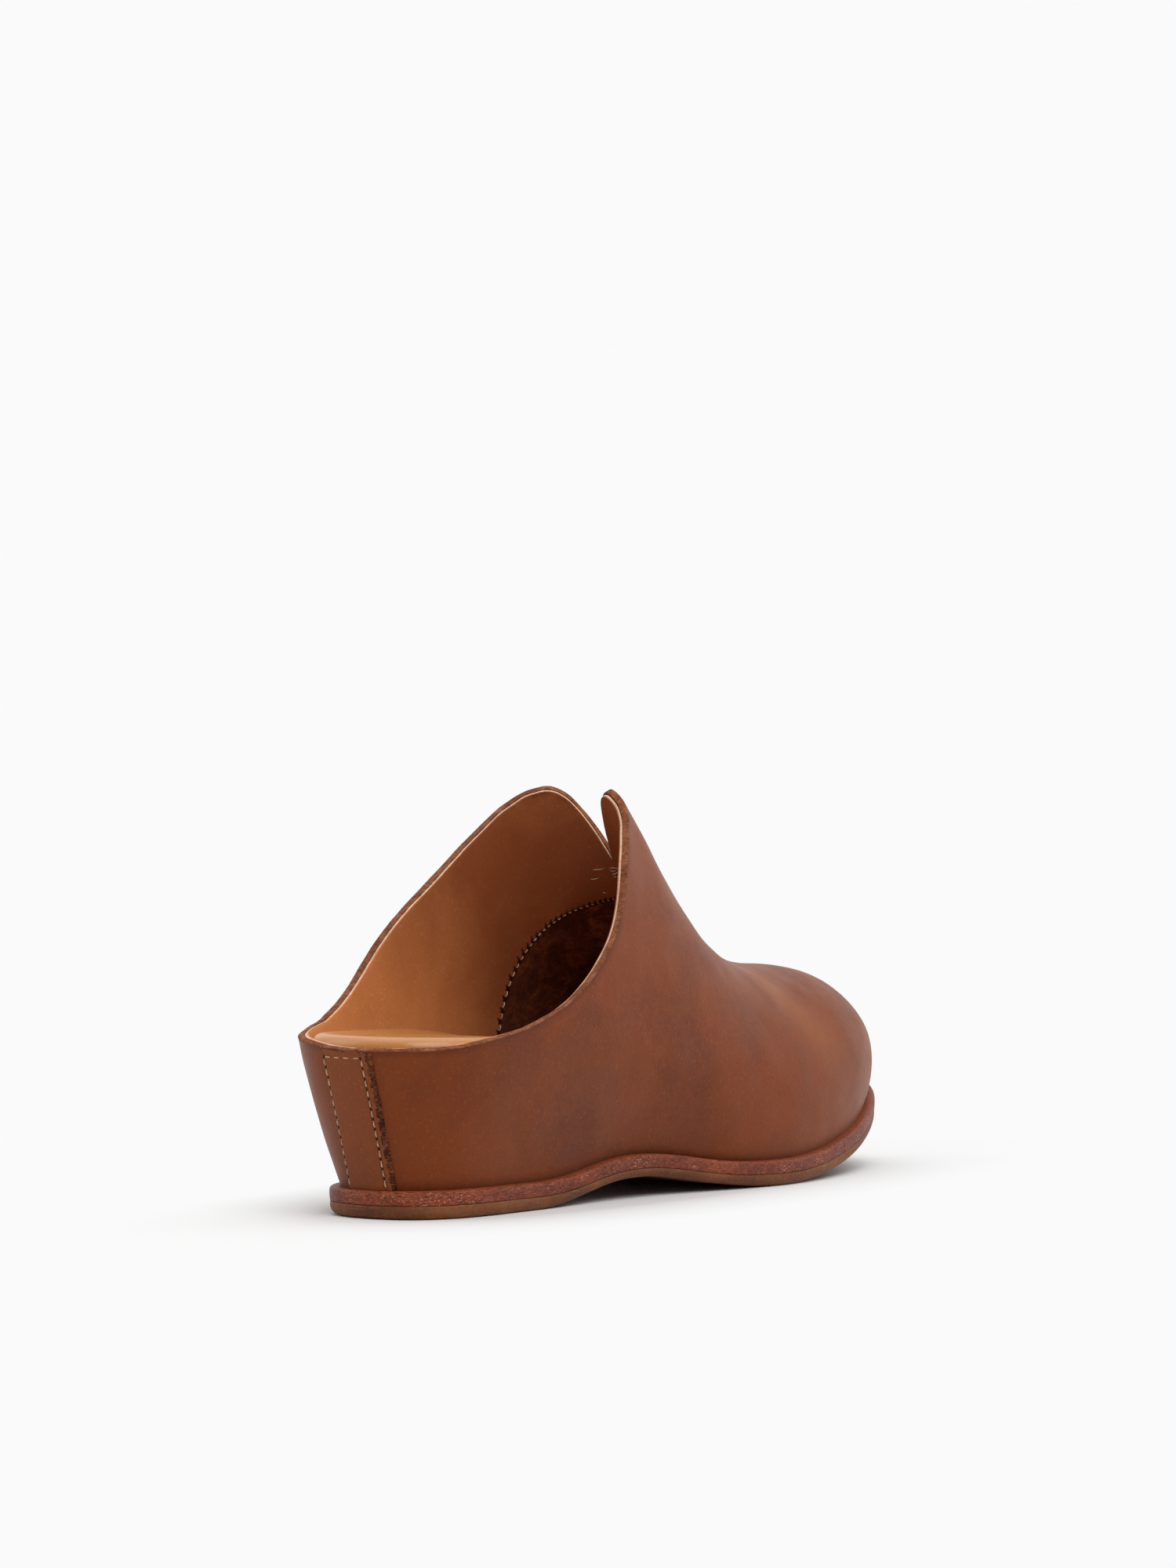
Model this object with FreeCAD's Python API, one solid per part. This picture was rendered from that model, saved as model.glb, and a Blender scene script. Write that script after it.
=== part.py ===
import FreeCAD, Part
import math, os

# Leather-covered wedge clog, right foot.  Millimetres, +Z up.
# The geometry is laid out in a heel frame (x from the back of the sole to the
# toe, y to the inner side of the foot) and every solid is shifted at the end so
# that the origin is the centre of the footprint box, on the ground.

# ---------------------------------------------------------------- driving dimensions
UPPER_T = 2.0          # upper leather
LINING_T = 1.0         # lining leather and suede
LAYER_GAP = 0.05       # glue line between leather layers
MIDSOLE_T = 4.0        # stacked leather midsole
OUTSOLE_INSET = 0.5    # the rubber stands in from the midsole edge
SOLE_LEDGE = 3.0       # midsole ledge outside the feather edge of the upper
BOARD_T = 2.0          # insole board
PAD_STACK = 4.5        # cushion and sock together
SOCK_T = 1.0           # sock leather
BACKSTAY_T = 1.4       # strip over the heel seam
THREAD_R = 0.28        # sewing thread radius
STITCH_PITCH = 3.0     # backstay stitch pitch
# curved seam between the linings, side view (z, x)
SEAM = [(-20.0, 105.0), (42.0, 108.8), (52.0, 110.2), (60.0, 112.4), (68.0, 116.3), (74.0, 119.6), (79.0, 123.4), (83.0, 128.3), (90.0, 138.0), (140.0, 208.0)]
def seam_x(z):
    for (z0, x0), (z1, x1) in zip(SEAM[:-1], SEAM[1:]):
        if z <= z1: return x0+(x1-x0)*(z-z0)/(z1-z0)
    return SEAM[-1][1]
SHIFT_X, SHIFT_Y = -118.6, -0.3


# ---------------------------------------------------------------- splines
def spline(xs, ys):
    n = len(xs)
    h = [xs[i+1]-xs[i] for i in range(n-1)]
    a = [0.0]*n; b = [1.0]*n; c = [0.0]*n; d = [0.0]*n
    for i in range(1, n-1):
        a[i] = h[i-1]; b[i] = 2*(h[i-1]+h[i]); c[i] = h[i]
        d[i] = 6*((ys[i+1]-ys[i])/h[i]-(ys[i]-ys[i-1])/h[i-1])
    for i in range(1, n):
        m = a[i]/b[i-1]; b[i] -= m*c[i-1]; d[i] -= m*d[i-1]
    M = [0.0]*n
    M[n-1] = d[n-1]/b[n-1]
    for i in range(n-2, -1, -1):
        M[i] = (d[i]-c[i]*M[i+1])/b[i]
    def f(x):
        if x <= xs[0]:
            k = (ys[1]-ys[0])/h[0]-h[0]*(2*M[0]+M[1])/6
            return ys[0]+k*(x-xs[0])
        if x >= xs[-1]:
            k = (ys[-1]-ys[-2])/h[-1]+h[-1]*(M[-2]+2*M[-1])/6
            return ys[-1]+k*(x-xs[-1])
        lo, hi = 0, n-1
        while hi-lo > 1:
            mid = (lo+hi)//2
            if xs[mid] <= x: lo = mid
            else: hi = mid
        t = x-xs[lo]; u = xs[lo+1]-x; w = h[lo]
        return (M[lo]*u**3+M[lo+1]*t**3)/(6*w)+(ys[lo]/w-M[lo]*w/6)*u+(ys[lo+1]/w-M[lo+1]*w/6)*t
    return f

def closed_curve(pts, n=1440):
    """dense closed polyline through pts (periodic cubic by wrapping)"""
    m = len(pts); k = 5
    ext = [pts[(i-k) % m] for i in range(m+2*k+1)]
    s = [0.0]
    for i in range(1, len(ext)):
        s.append(s[-1]+math.sqrt(math.hypot(ext[i][0]-ext[i-1][0], ext[i][1]-ext[i-1][1])*8.0))
    fx = spline(s, [p[0] for p in ext]); fy = spline(s, [p[1] for p in ext])
    s0, s1 = s[k], s[k+m]
    return [(fx(s0+(s1-s0)*i/n), fy(s0+(s1-s0)*i/n)) for i in range(n)]

# ---------------------------------------------------------------- plan outlines (heel frame)
XH, XT = 23.0, 197.0          # centres of the heel fan and the toe fan
X_NOTCH = 123.4
SOLE_NEAR = [(1.5,-9.5),(7,-17.0),(19,-22.7),(42,-25.2),(70,-27),(95,-29.5),(118,-34),(140,-39.2),(155,-41.4),(170,-41.6),(190,-39.4),(206,-35.4),(219,-30.3),(229.5,-24.4),(237.8,-17.0),(243.3,-8.2)]
SOLE_FAR = [(1.5,9.5),(7,17.0),(19,22.7),(42,25),(70,24.8),(95,25.8),(118,30),(140,36.3),(162,41),(184,42.5),(205,39.8),(223,32.2),(236,22.6),(243.6,11.6)]
def ring(near, far, heel, toe=None):
    r = [heel]+near+([toe] if toe else [])+[p for p in reversed(far)]
    return closed_curve(r)
SOLE = ring(SOLE_NEAR, SOLE_FAR, (0.0, 0.0), (245.6, 1.8))

def ray(poly, cx, dx, dy):
    """distance from (cx,0) along (dx,dy) to the closed polyline"""
    best = None
    n = len(poly)
    for i in range(n):
        x0, y0 = poly[i]; x1, y1 = poly[(i+1) % n]
        c0 = (x0-cx)*dy-y0*dx; c1 = (x1-cx)*dy-y1*dx
        if (c0 <= 0 < c1) or (c1 <= 0 < c0):
            f = c0/(c0-c1)
            px = x0+(x1-x0)*f-cx; py = y0+(y1-y0)*f
            r = px*dx+py*dy
            if r > 0 and (best is None or r > best): best = r
    return best

# wide outline of the upper (where the wall stands out most)
WIDE_NEAR = [(-5.7,-11.5),(-0.5,-20.2),(9.5,-27.8),(24,-31.6),(45,-33.8),(65,-35.2),(85,-36.0),(105,-37.2),(123,-38.8),(140,-40.0),(155,-40.9),(170,-40.7),(190,-38.3),(206,-34.6),(219.4,-29.4),(229.3,-23.6),(237.0,-16.3),(242.0,-7.9)]
WIDE_FAR = [(-5.9,12.1),(-1.2,21.1),(8.9,28.9),(23.8,32.5),(45,34.1),(65,34.6),(85,35.0),(105,35.6),(123,36.4),(140,38.2),(162,40.4),(184,41.2),(205,38.5),(222.4,31.0),(234.8,21.7),(242.0,11.1)]
WIDE = ring(WIDE_NEAR, WIDE_FAR, (-7.6, 0.0), (244.0, 1.7))

# heights
z_out = spline([0,20,40,50,57,65,73,82,92,101,107,115,127,135,145,155,162,174,187,200,213,230,247],
               [0,0,0,0,0.5,1.9,3.6,5.2,5.9,5.6,4.8,3.6,1.9,0.9,0.1,0.0,0.4,1.7,3.8,6.7,10.1,15,20.3])
z_mid = spline([0,20,40,54,64,73,82,92,102,109,119,129,145,160,172,187,200,213,230,247],
               [7.8,7.8,7.8,7.9,8.9,10.5,11.9,12.5,12.1,11.3,9.8,8.5,7.7,7.9,9.1,11.6,14.5,17.9,22.8,28.1])

# section parameters along a station measure m: heel fan -> strip -> toe fan
# m = -90*k at heel back, x in the strip, XT + for the toe (0..60)
FAN = 40.0
# wide point height, ridge height, exponent, lower wall exponent; near and far
Z_R_NEAR = spline([23,45,65,78,85,92,98,103,106.5,109,113,118.3,123.4,132,140.6,149,156,164,175,186,197,215,237],
                  [160,160,157,152,144,133.5,127.2,122.6,118.2,114.4,108.6,101.7,95.5,85.6,78.2,72.7,69.4,66.6,64.3,63.0,62.6,62.6,62.6])
Z_R_FAR = spline([23,45,65,78,87,95,101,105,110,114,119,123.4,132,140.6,149,156,164,175,186,197,215,237],
                 [190,185,178,168,154,140,131,126,119,113,104,95.5,85.6,78.2,72.7,69.4,66.6,64.3,63.0,62.6,62.6,62.6])
Z_M = spline([-17,23,45,65,85,105,123,140,160,180,197,217,237],
             [51,51,50,48.5,45,39,34,30,28,29,31,33.5,36.5])
N_EXP = spline([-17,60,105,123.4,140,160,180,197,217,237],
               [1.8,1.8,1.8,1.8,1.85,1.9,1.95,2.0,1.98,2.0])
P_LOW = spline([-17,23,60,90,123,150,197,237],
               [1.35,1.35,1.4,1.5,1.8,2.0,2.1,2.1])
INSET = SOLE_LEDGE

def station(m, side):
    """m: heel fan m in [-17,23] (23 = side), strip 23..197, toe fan 197..237"""
    if m < XH:
        a = (m+17.0)/40.0*math.pi/2
        return (XH, -math.cos(a), side*math.sin(a))
    if m <= XT:
        return (m, 0.0, side*1.0)
    a = (m-XT)/40.0*math.pi/2
    return (XT, math.sin(a), side*math.cos(a))

_cache = {}
def params(m, side):
    key = (round(m, 5), side)
    if key in _cache: return _cache[key]
    cx, dx, dy = station(m, side)
    rb = ray(SOLE, cx, dx, dy); rm = ray(WIDE, cx, dx, dy)
    bx = cx+dx*rb
    # feather edge: sole outline brought in by INSET
    rb -= INSET
    zb = z_mid(cx+dx*rb)
    zr = (Z_R_NEAR if side < 0 else Z_R_FAR)(m)
    r = (cx, dx, dy, rb, rm, zb, Z_M(m), zr, N_EXP(m), P_LOW(m))
    _cache[key] = r
    return r

T_LOW = 0.38       # share of the profile below the widest point
def outer(m, side, t):
    cx, dx, dy, rb, rm, zb, zm, zr, n, p = params(m, side)
    if t <= T_LOW:
        q = t/T_LOW
        rho = rb+(rm-rb)*(1-(1-q)**p)
        z = zb+(zm-zb)*q
    else:
        q = (t-T_LOW)/(1-T_LOW)
        a = q*math.pi/2
        c, s = max(math.cos(a), 0.0), math.sin(a)
        rho = rm*c**(2/n)
        z = zm+(zr-zm)*s**(2/n)
    return (cx+dx*rho, dy*rho, z)

# cut line of the opening as a share of each section, from the heel to the notch
T_NEAR = spline([-17,-7,3,13,23,30,38,46,54,62,68,72,76,80,84,88,92,96,99,101,103,104,105,106,107,109,111,113,118,121,123.4],
                [.3325,.332,.3335,.3445,.3647,.3794,.3943,.4086,.4281,.4537,.478,.4969,.5231,.56,.6052,.6474,.6902,.7297,.7655,.79,.822,.848,.871,.889,.903,.921,.933,.944,.966,.981,1.0])
T_FAR = spline([-17,-12,-7,-2,3,8,13,18,23,30,38,46,54,62,68,72,76,80,84,88,92,96,99,101,103,105,107,109,111,113,115,118,121,123.4],
               [.3325,.335,.339,.344,.349,.3537,.36,.3711,.3835,.3985,.4204,.448,.4732,.4963,.5134,.5264,.5419,.5614,.5864,.6172,.6552,.7041,.7428,.7716,.7965,.8224,.8465,.8680,.886,.9009,.9163,.943,.9741,1.0])
def t_cut(m, side):
    if m >= X_NOTCH: return 1.0
    if m <= -17.0: return .3325
    return min(1.0, (T_NEAR if side < 0 else T_FAR)(m))

# ---------------------------------------------------------------- offset of the wall
def normal(m, side, t):
    dm = 0.25; dt = 0.004
    m = min(max(m, -17.0+1e-6), 237.0-1e-6)
    a = outer(max(m-dm, -17.0), side, t); b = outer(min(m+dm, 237.0), side, t)
    t0, t1 = max(t-dt, 0.0), min(t+dt, 1.0)
    if t > 0.999:
        # ridge: the section is flat there, so the normal lies in the long plane
        dx, dz = b[0]-a[0], b[2]-a[2]
        if m > XT: return (0.0, 0.0, 1.0)
        l = math.hypot(dx, dz); return (-dz/l, 0.0, dx/l)
    c = outer(m, side, t0); d = outer(m, side, t1)
    ux, uy, uz = b[0]-a[0], b[1]-a[1], b[2]-a[2]
    vx, vy, vz = d[0]-c[0], d[1]-c[1], d[2]-c[2]
    nx, ny, nz = uy*vz-uz*vy, uz*vx-ux*vz, ux*vy-uy*vx
    l = math.sqrt(nx*nx+ny*ny+nz*nz) or 1.0
    nx, ny, nz = nx/l, ny/l, nz/l
    cx, sx, sy = station(m, side)
    p = outer(m, side, t)
    # turn it outwards
    if (p[0]-cx)*nx+p[1]*ny+(p[2]-25.0)*0.6*nz < 0: nx, ny, nz = -nx, -ny, -nz
    if m <= -17.0+1e-3 or m >= 237.0-1e-3:
        ny = 0.0; l = math.hypot(nx, nz); nx, nz = nx/l, nz/l
    return (nx, ny, nz)

def wall(m, side, t, d):
    """point of the wall at depth d inside the outer surface"""
    p = outer(m, side, t); n = normal(m, side, t)
    z = p[2]-n[2]*d
    if t <= 1e-6: z = p[2]
    x, y = p[0]-n[0]*d, p[1]-n[1]*d
    if y*side < 0.0: y = 0.0
    return (x, y, z)

V = FreeCAD.Vector

# ---------------------------------------------------------------- spline patches
def knots(n, deg):
    k = n-deg+1
    return [float(i) for i in range(k)], [deg+1]+[1]*(k-2)+[deg+1]

def patch(rows, du=3, dv=3):
    poles = [[V(*p) for p in r] for r in rows]
    uk, um = knots(len(rows), du); vk, vm = knots(len(rows[0]), dv)
    s = Part.BSplineSurface()
    s.buildFromPolesMultsKnots(poles, um, vm, uk, vk, False, False, du, dv)
    return s.toShape()

def closed_solid(faces, name):
    sh = Part.Shell(faces)
    sh.sewShape()
    if sh.ShapeType != "Shell": sh = sh.Shells[0]
    so = Part.Solid(sh)
    if so.Volume < 0: so.reverse()
    if not so.isValid(): so.fix(1e-3, 1e-3, 1e-3)
    print(name, "valid", so.isValid(), "closed", sh.isClosed(), "volume", round(so.Volume, 1))
    return so

K = 12
QUARTER = [-17,-12,-7,-2,3,8,13,18,23,31,39,47,55,63,70,76,81,86,91,95.5,99.5,102,104,106,108,111,115,119,X_NOTCH]
STRIP = [X_NOTCH,131,139,147,155,163,171,179,187,197]
NP = 9
def toe_station(p, q):
    """square to half disc, so that the toe closes without a pole"""
    a = p*math.sqrt(max(1-q*q/2, 0)); b = q*math.sqrt(max(1-p*p/2, 0))
    r = min(math.hypot(a, b), 1.0)
    ang = math.atan2(b, a)             # pi/2 at the side, 0 at the front
    return XT+(1-ang/(math.pi/2))*40.0, 1-r

def quarter_grid(side, d):
    return [[wall(m, side, t_cut(m, side)*k/K, d) for k in range(K+1)] for m in QUARTER]
def vamp_grid(side, d):
    g = [[wall(m, side, k/K, d) for k in range(K+1)] for m in STRIP]
    for i in range(1, NP+1):
        row = []
        for k in range(K+1):
            m, t = toe_station(i/NP, 1-k/K)
            if k == K: m = 237.0
            p = wall(m, side, min(max(t, 0.0), 1.0), d)
            if k == K: p = (p[0], 0.0, p[2])
            row.append(p)
        g.append(row)
    return g
def share_edges(grids):
    """the near and far halves share the centre lines"""
    nq, nv, fq, fv = grids
    nq[0] = fq[0] = [(p[0], 0.0, p[2]) for p in nq[0]]
    for g, h in ((nv, fv),):
        for i in range(len(g)):
            p, q = g[i][K], h[i][K]
            c = ((p[0]+q[0])/2, 0.0, (p[2]+q[2])/2)
            g[i][K] = h[i][K] = c
    nv[0] = list(nv[0]); fv[0] = list(fv[0])
    nq[-1] = list(nv[0]); fq[-1] = list(fv[0])

def layer(d0, d1, name):
    """closed leather layer between two depths of the wall"""
    o = [quarter_grid(-1, d0), vamp_grid(-1, d0), quarter_grid(1, d0), vamp_grid(1, d0)]
    i = [quarter_grid(-1, d1), vamp_grid(-1, d1), quarter_grid(1, d1), vamp_grid(1, d1)]
    share_edges(o); share_edges(i)
    faces = [patch(g) for g in o]+[patch(g) for g in i]
    def strip(a, b): faces.append(patch([a, b], 1, 3))
    col = lambda g, k: [r[k] for r in g]
    for h in (0, 2):
        strip(col(o[h], 0), col(i[h], 0))          # bottom of the quarters
        strip(col(o[h], K), col(i[h], K))          # topline and notch edge
        strip(col(o[h+1], 0), col(i[h+1], 0))      # bottom of the vamp side
        strip(o[h+1][-1], i[h+1][-1])              # bottom of the toe
    return closed_solid(faces, name)

# ---------------------------------------------------------------- foot form: inside of the walls
FORM_M = [-17,-12,-7,-2,3,8,13,18,23,33,43,53,63,73,83,93,103,113,123,133,143,153,163,173,183,190,197,202,207,212,217,222,227,232,237]
def level_ring(z, d):
    def pt(m, side):
        pr = None
        for k in range(0, 61):
            p = wall(m, side, 0.98*k/60, d)
            if p[2] >= z:
                if pr is None:
                    return (p[0], p[1])
                f = (z-pr[2])/max(p[2]-pr[2], 1e-9)
                return (pr[0]+(p[0]-pr[0])*f, pr[1]+(p[1]-pr[1])*f)
            pr = p
        return (pr[0], pr[1])
    near = [pt(m, -1) for m in FORM_M]; far = [pt(m, 1) for m in FORM_M]
    near[0] = (near[0][0], 0.0); near[-1] = (near[-1][0], 0.0)
    return near+[p for p in reversed(far[1:-1])]

def form(d, levels=(0, 12, 20, 27, 34, 42, 52)):
    wires = []
    for z in levels:
        c = Part.BSplineCurve()
        c.interpolate(Points=[V(x, y, z) for x, y in level_ring(float(z), d)], PeriodicFlag=True)
        wires.append(Part.Wire([c.toShape()]))
    s = Part.makeLoft(wires, True, False)
    print("form", d, s.isValid(), round(s.Volume))
    return s

def band(lo, hi, x0=-30.0, x1=270.0, half=70.0, n=60, flat=None):
    """solid between two heights given along x, wide enough to cut any piece"""
    xs = [x0+(x1-x0)*i/n for i in range(n+1)]
    if flat:
        # level heel seat: a straight run, then the curve
        xb = [flat+(x1-flat)*i/n for i in range(n+1)]
        c = Part.BSplineCurve()
        c.interpolate(Points=[V(x, -half, max(lo(min(x, 250.0)), 0.0)) for x in xb], InitialTangent=V(1, 0, 0), FinalTangent=V(1, 0, 0.2))
        low = [Part.makeLine(V(x0, -half, 0), V(flat, -half, 0)), c.toShape()]
        lo_ = lo; lo = lambda x: 0.0 if x < flat else lo_(x)
    def curve(f):
        c = Part.BSplineCurve(); c.interpolate([V(x, -half, f(min(max(x, -12.0), 250.0))) for x in xs]); return c.toShape()
    t = curve(hi)
    b = low if flat else [curve(lo)]
    e1 = Part.makeLine(V(x0, -half, lo(-12.0)), V(x0, -half, hi(-12.0)))
    e2 = Part.makeLine(V(x1, -half, lo(250.0)), V(x1, -half, hi(250.0)))
    w = Part.Wire(Part.__sortEdges__(b+[e2, t, e1]))
    return Part.Face(w).extrude(V(0, 2*half, 0))

def outline_prism(inset, z0=-10.0, z1=60.0):
    pts = []
    n = len(SOLE)
    for i in range(0, n, 16):
        x0, y0 = SOLE[i-3]; x1, y1 = SOLE[(i+3) % n]
        l = math.hypot(x1-x0, y1-y0); nx, ny = (y1-y0)/l, -(x1-x0)/l
        x, y = SOLE[i]
        pts.append(V(x-nx*inset, y-ny*inset, z0))
    c = Part.BSplineCurve(); c.interpolate(Points=pts, PeriodicFlag=True)
    return Part.Face(Part.Wire([c.toShape()])).extrude(V(0, 0, z1-z0))

def try_fillet(s, r, pick):
    e = [x for x in s.Edges if pick(x)]
    try:
        f = s.makeFillet(r, e)
        if f.isValid() and 0.8*s.Volume < f.Volume <= s.Volume*1.001: return f
    except Exception as ex:
        print("fillet skipped", ex)
    return s

Z_SOCK = spline([-20,10,30,60,80,100,120,140,160,180,200,220,245],
                [49.4,49.2,48.8,47.6,45.3,41.6,37.0,32.5,29.0,27.4,27.9,30.1,34.6])

parts = {}
# sole
z_split = lambda x: z_mid(x)-MIDSOLE_T
out = outline_prism(OUTSOLE_INSET).common(band(z_out, z_split, flat=46.0))
parts["outsole"] = try_fillet(out, 1.1, lambda e: e.Length > 300 and e.BoundBox.ZMin < 0.5)
mid = outline_prism(0.0).common(band(z_split, z_mid))
parts["midsole"] = mid

# stack under the foot
F0 = form(UPPER_T+LINING_T+0.45)
F1 = form(UPPER_T+LINING_T+1.65)
parts["wedge_core"] = F0.common(band(lambda x: z_mid(x)+0.05, lambda x: Z_SOCK(x)-PAD_STACK-BOARD_T-0.1))
parts["insole_board"] = F0.common(band(lambda x: Z_SOCK(x)-PAD_STACK-BOARD_T-0.05, lambda x: Z_SOCK(x)-PAD_STACK-0.05))
sock = F0.common(band(lambda x: Z_SOCK(x)-PAD_STACK, Z_SOCK))
sock = try_fillet(sock, 1.6, lambda e: e.Length > 300 and e.BoundBox.ZMax > 48.9)
pad = F1.common(band(lambda x: Z_SOCK(x)-PAD_STACK, lambda x: Z_SOCK(x)-SOCK_T))
parts["sock_liner"] = sock.cut(pad)
F2 = form(UPPER_T+LINING_T+1.7)
parts["footbed_cushion"] = F2.common(band(lambda x: Z_SOCK(x)-PAD_STACK+0.05, lambda x: Z_SOCK(x)-SOCK_T-0.05))

# upper and linings
parts["upper"] = layer(0.0, UPPER_T, "upper")
lin = layer(UPPER_T+LAYER_GAP, UPPER_T+LAYER_GAP+LINING_T, "lining")
def seam_block(front, gap):
    s = 1.0 if front else -1.0
    g = gap*s/2
    far_x = 300.0 if front else -60.0
    line = [V(x+g, -80, z) for z, x in SEAM]
    w = Part.makePolygon([V(far_x, -80, -20)]+line+[V(far_x, -80, 140), V(far_x, -80, -20)])
    return Part.Face(w).extrude(V(0, 160, 0))
parts["quarter_lining"] = lin.common(seam_block(False, 0.1))
parts["toe_lining"] = lin.common(seam_block(True, 0.1))

# backstay strip over the heel seam: signed angle from the back, + to the inner side
def heel_point(ang, t, d):
    side = 1 if ang >= 0 else -1
    m = -17.0+abs(ang)/90.0*40.0
    return wall(m, side, t, d)
def strip_angle(c, v):
    a_l = 18.6-1.8*v; a_r = -22.4+9.4*v
    return a_l+(a_r-a_l)*c
T_TOP = 0.329
NC, NV = 10, 8
def strip_grid(d):
    return [[heel_point(strip_angle(i/NC, k/NV), 0.008+(T_TOP-0.008)*k/NV, d) for k in range(NV+1)] for i in range(NC+1)]
o, i_ = strip_grid(-BACKSTAY_T-0.05), strip_grid(-0.05)
# the fan spline is clamped at the heel, so its own poles are pushed out a little
fs = [patch(o), patch(i_), patch([o[0], i_[0]], 1, 3), patch([o[-1], i_[-1]], 1, 3),
      patch([[r[0] for r in o], [r[0] for r in i_]], 1, 3), patch([[r[-1] for r in o], [r[-1] for r in i_]], 1, 3)]
parts["backstay_strip"] = closed_solid(fs, "backstay_strip")

def thread(a, b, r):
    a, b = V(*a), V(*b); d = b-a
    return Part.makeCylinder(r, d.Length, a, d)

def run_of_stitches(fn, length, pitch, share, r):
    n = max(1, int(round(length/pitch))); out = []
    for i in range(n):
        u0 = (i+(1-share)/2)/n; u1 = (i+(1+share)/2)/n
        out.append(thread(fn(u0), fn(u1), r))
    return out
D_ST = -BACKSTAY_T-0.05-THREAD_R-0.05
def edge_line(c, v0=0.02, v1=0.97):
    return lambda u: heel_point(strip_angle(c, v0+(v1-v0)*u), 0.008+(T_TOP-0.008)*(v0+(v1-v0)*u), D_ST)
st = run_of_stitches(edge_line(0.13), 39.0, STITCH_PITCH, 0.72, THREAD_R)
st += run_of_stitches(edge_line(0.85), 39.0, STITCH_PITCH, 0.72, THREAD_R)
st += run_of_stitches(lambda u: heel_point(strip_angle(0.18+0.62*u, 0.93), 0.008+(T_TOP-0.008)*0.93, D_ST), 10.0, STITCH_PITCH, 0.72, THREAD_R)
parts["backstay_stitching"] = Part.makeCompound(st)

# zigzag threads along the lining seam, on the inside
D_LIN = UPPER_T+LAYER_GAP+LINING_T+THREAD_R+0.05
def seam_point(side, t, dx):
    m = 118.0
    for _ in range(18):
        p = wall(m, side, t, D_LIN)
        m += 0.6*(seam_x(p[2])+dx-p[0])
    return wall(m, side, t, D_LIN)
zz = []
for side in (-1, 1):
    n = 26; prev = None
    for i in range(n+1):
        t = 0.44+(0.99-0.44)*i/n
        p = seam_point(side, t, 1.2 if i % 2 else -1.2)
        if prev: zz.append(thread(prev, p, THREAD_R*0.8))
        prev = p
parts["lining_stitching"] = Part.makeCompound(zz)

# bar tack below the notch
bt = []
for i in range(5):
    m = X_NOTCH+1.2+0.75*i
    a = wall(m, -1, 0.955, D_LIN); b = wall(m, 1, 0.955, D_LIN)
    mdl = wall(m, 1, 1.0, D_LIN)
    zt = min(a[2], b[2])-0.4
    bt.append(thread((a[0], a[1], zt), (b[0], b[1], zt), THREAD_R))
parts["notch_bar_tack"] = Part.makeCompound(bt)

# steel shank let into the underside of the wedge
shank = Part.makeBox(98.0, 14.0, 60.0, V(42.0, -7.0, -5.0)).common(band(lambda x: z_mid(x)+0.05, lambda x: z_mid(x)+1.5))
parts["wedge_core"] = parts["wedge_core"].cut(shank)
parts["steel_shank"] = shank

# screws up through the midsole into the wedge
sc = []
for x, y in ((17.0, 0.0), (33.0, -9.0), (33.0, 9.0)):
    head = Part.makeCylinder(3.2, 1.6, V(x, y, z_split(x)+0.05), V(0, 0, 1))
    shank = Part.makeCylinder(1.5, 20.0, V(x, y, z_split(x)+1.6), V(0, 0, 1))
    sc.append(head.fuse(shank))
screws = Part.makeCompound(sc)
for nme in ("midsole", "wedge_core"):
    parts[nme] = parts[nme].cut(screws)
parts["heel_screws"] = screws

os.makedirs("parts", exist_ok=True)
for nme, s in parts.items():
    s.translate(V(SHIFT_X, SHIFT_Y, 0.0))
    bb = s.BoundBox
    print("%-20s valid %s solids %d vol %.1f  x %.1f..%.1f y %.1f..%.1f z %.1f..%.1f" % (nme, s.isValid(), len(s.Solids), s.Volume, bb.XMin, bb.XMax, bb.YMin, bb.YMax, bb.ZMin, bb.ZMax))
    s.exportStep("parts/%s.step" % nme)
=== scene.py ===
import bpy, bmesh, math, random
import numpy as np
from mathutils import Vector, Matrix


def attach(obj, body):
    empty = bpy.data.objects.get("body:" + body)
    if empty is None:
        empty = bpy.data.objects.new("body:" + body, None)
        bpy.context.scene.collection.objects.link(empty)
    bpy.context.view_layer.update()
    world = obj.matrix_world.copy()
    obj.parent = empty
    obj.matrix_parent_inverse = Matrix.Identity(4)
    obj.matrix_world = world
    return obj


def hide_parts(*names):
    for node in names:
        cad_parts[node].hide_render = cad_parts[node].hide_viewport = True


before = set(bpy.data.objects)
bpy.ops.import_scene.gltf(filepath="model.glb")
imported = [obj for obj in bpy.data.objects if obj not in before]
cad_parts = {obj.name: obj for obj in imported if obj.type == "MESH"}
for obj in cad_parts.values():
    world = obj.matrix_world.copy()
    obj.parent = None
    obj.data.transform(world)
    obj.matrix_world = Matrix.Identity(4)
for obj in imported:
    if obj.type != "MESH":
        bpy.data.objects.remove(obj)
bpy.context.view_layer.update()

random.seed(7)
rng = np.random.default_rng(7)

# ================================================================ shape of the clog
# heel frame in millimetres, as in the CAD: x from the back of the sole to the toe,
# y to the inner side, z up. to_row() turns it into the row frame in metres.
SHIFT_X, SHIFT_Y = -118.6, -0.3

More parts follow.
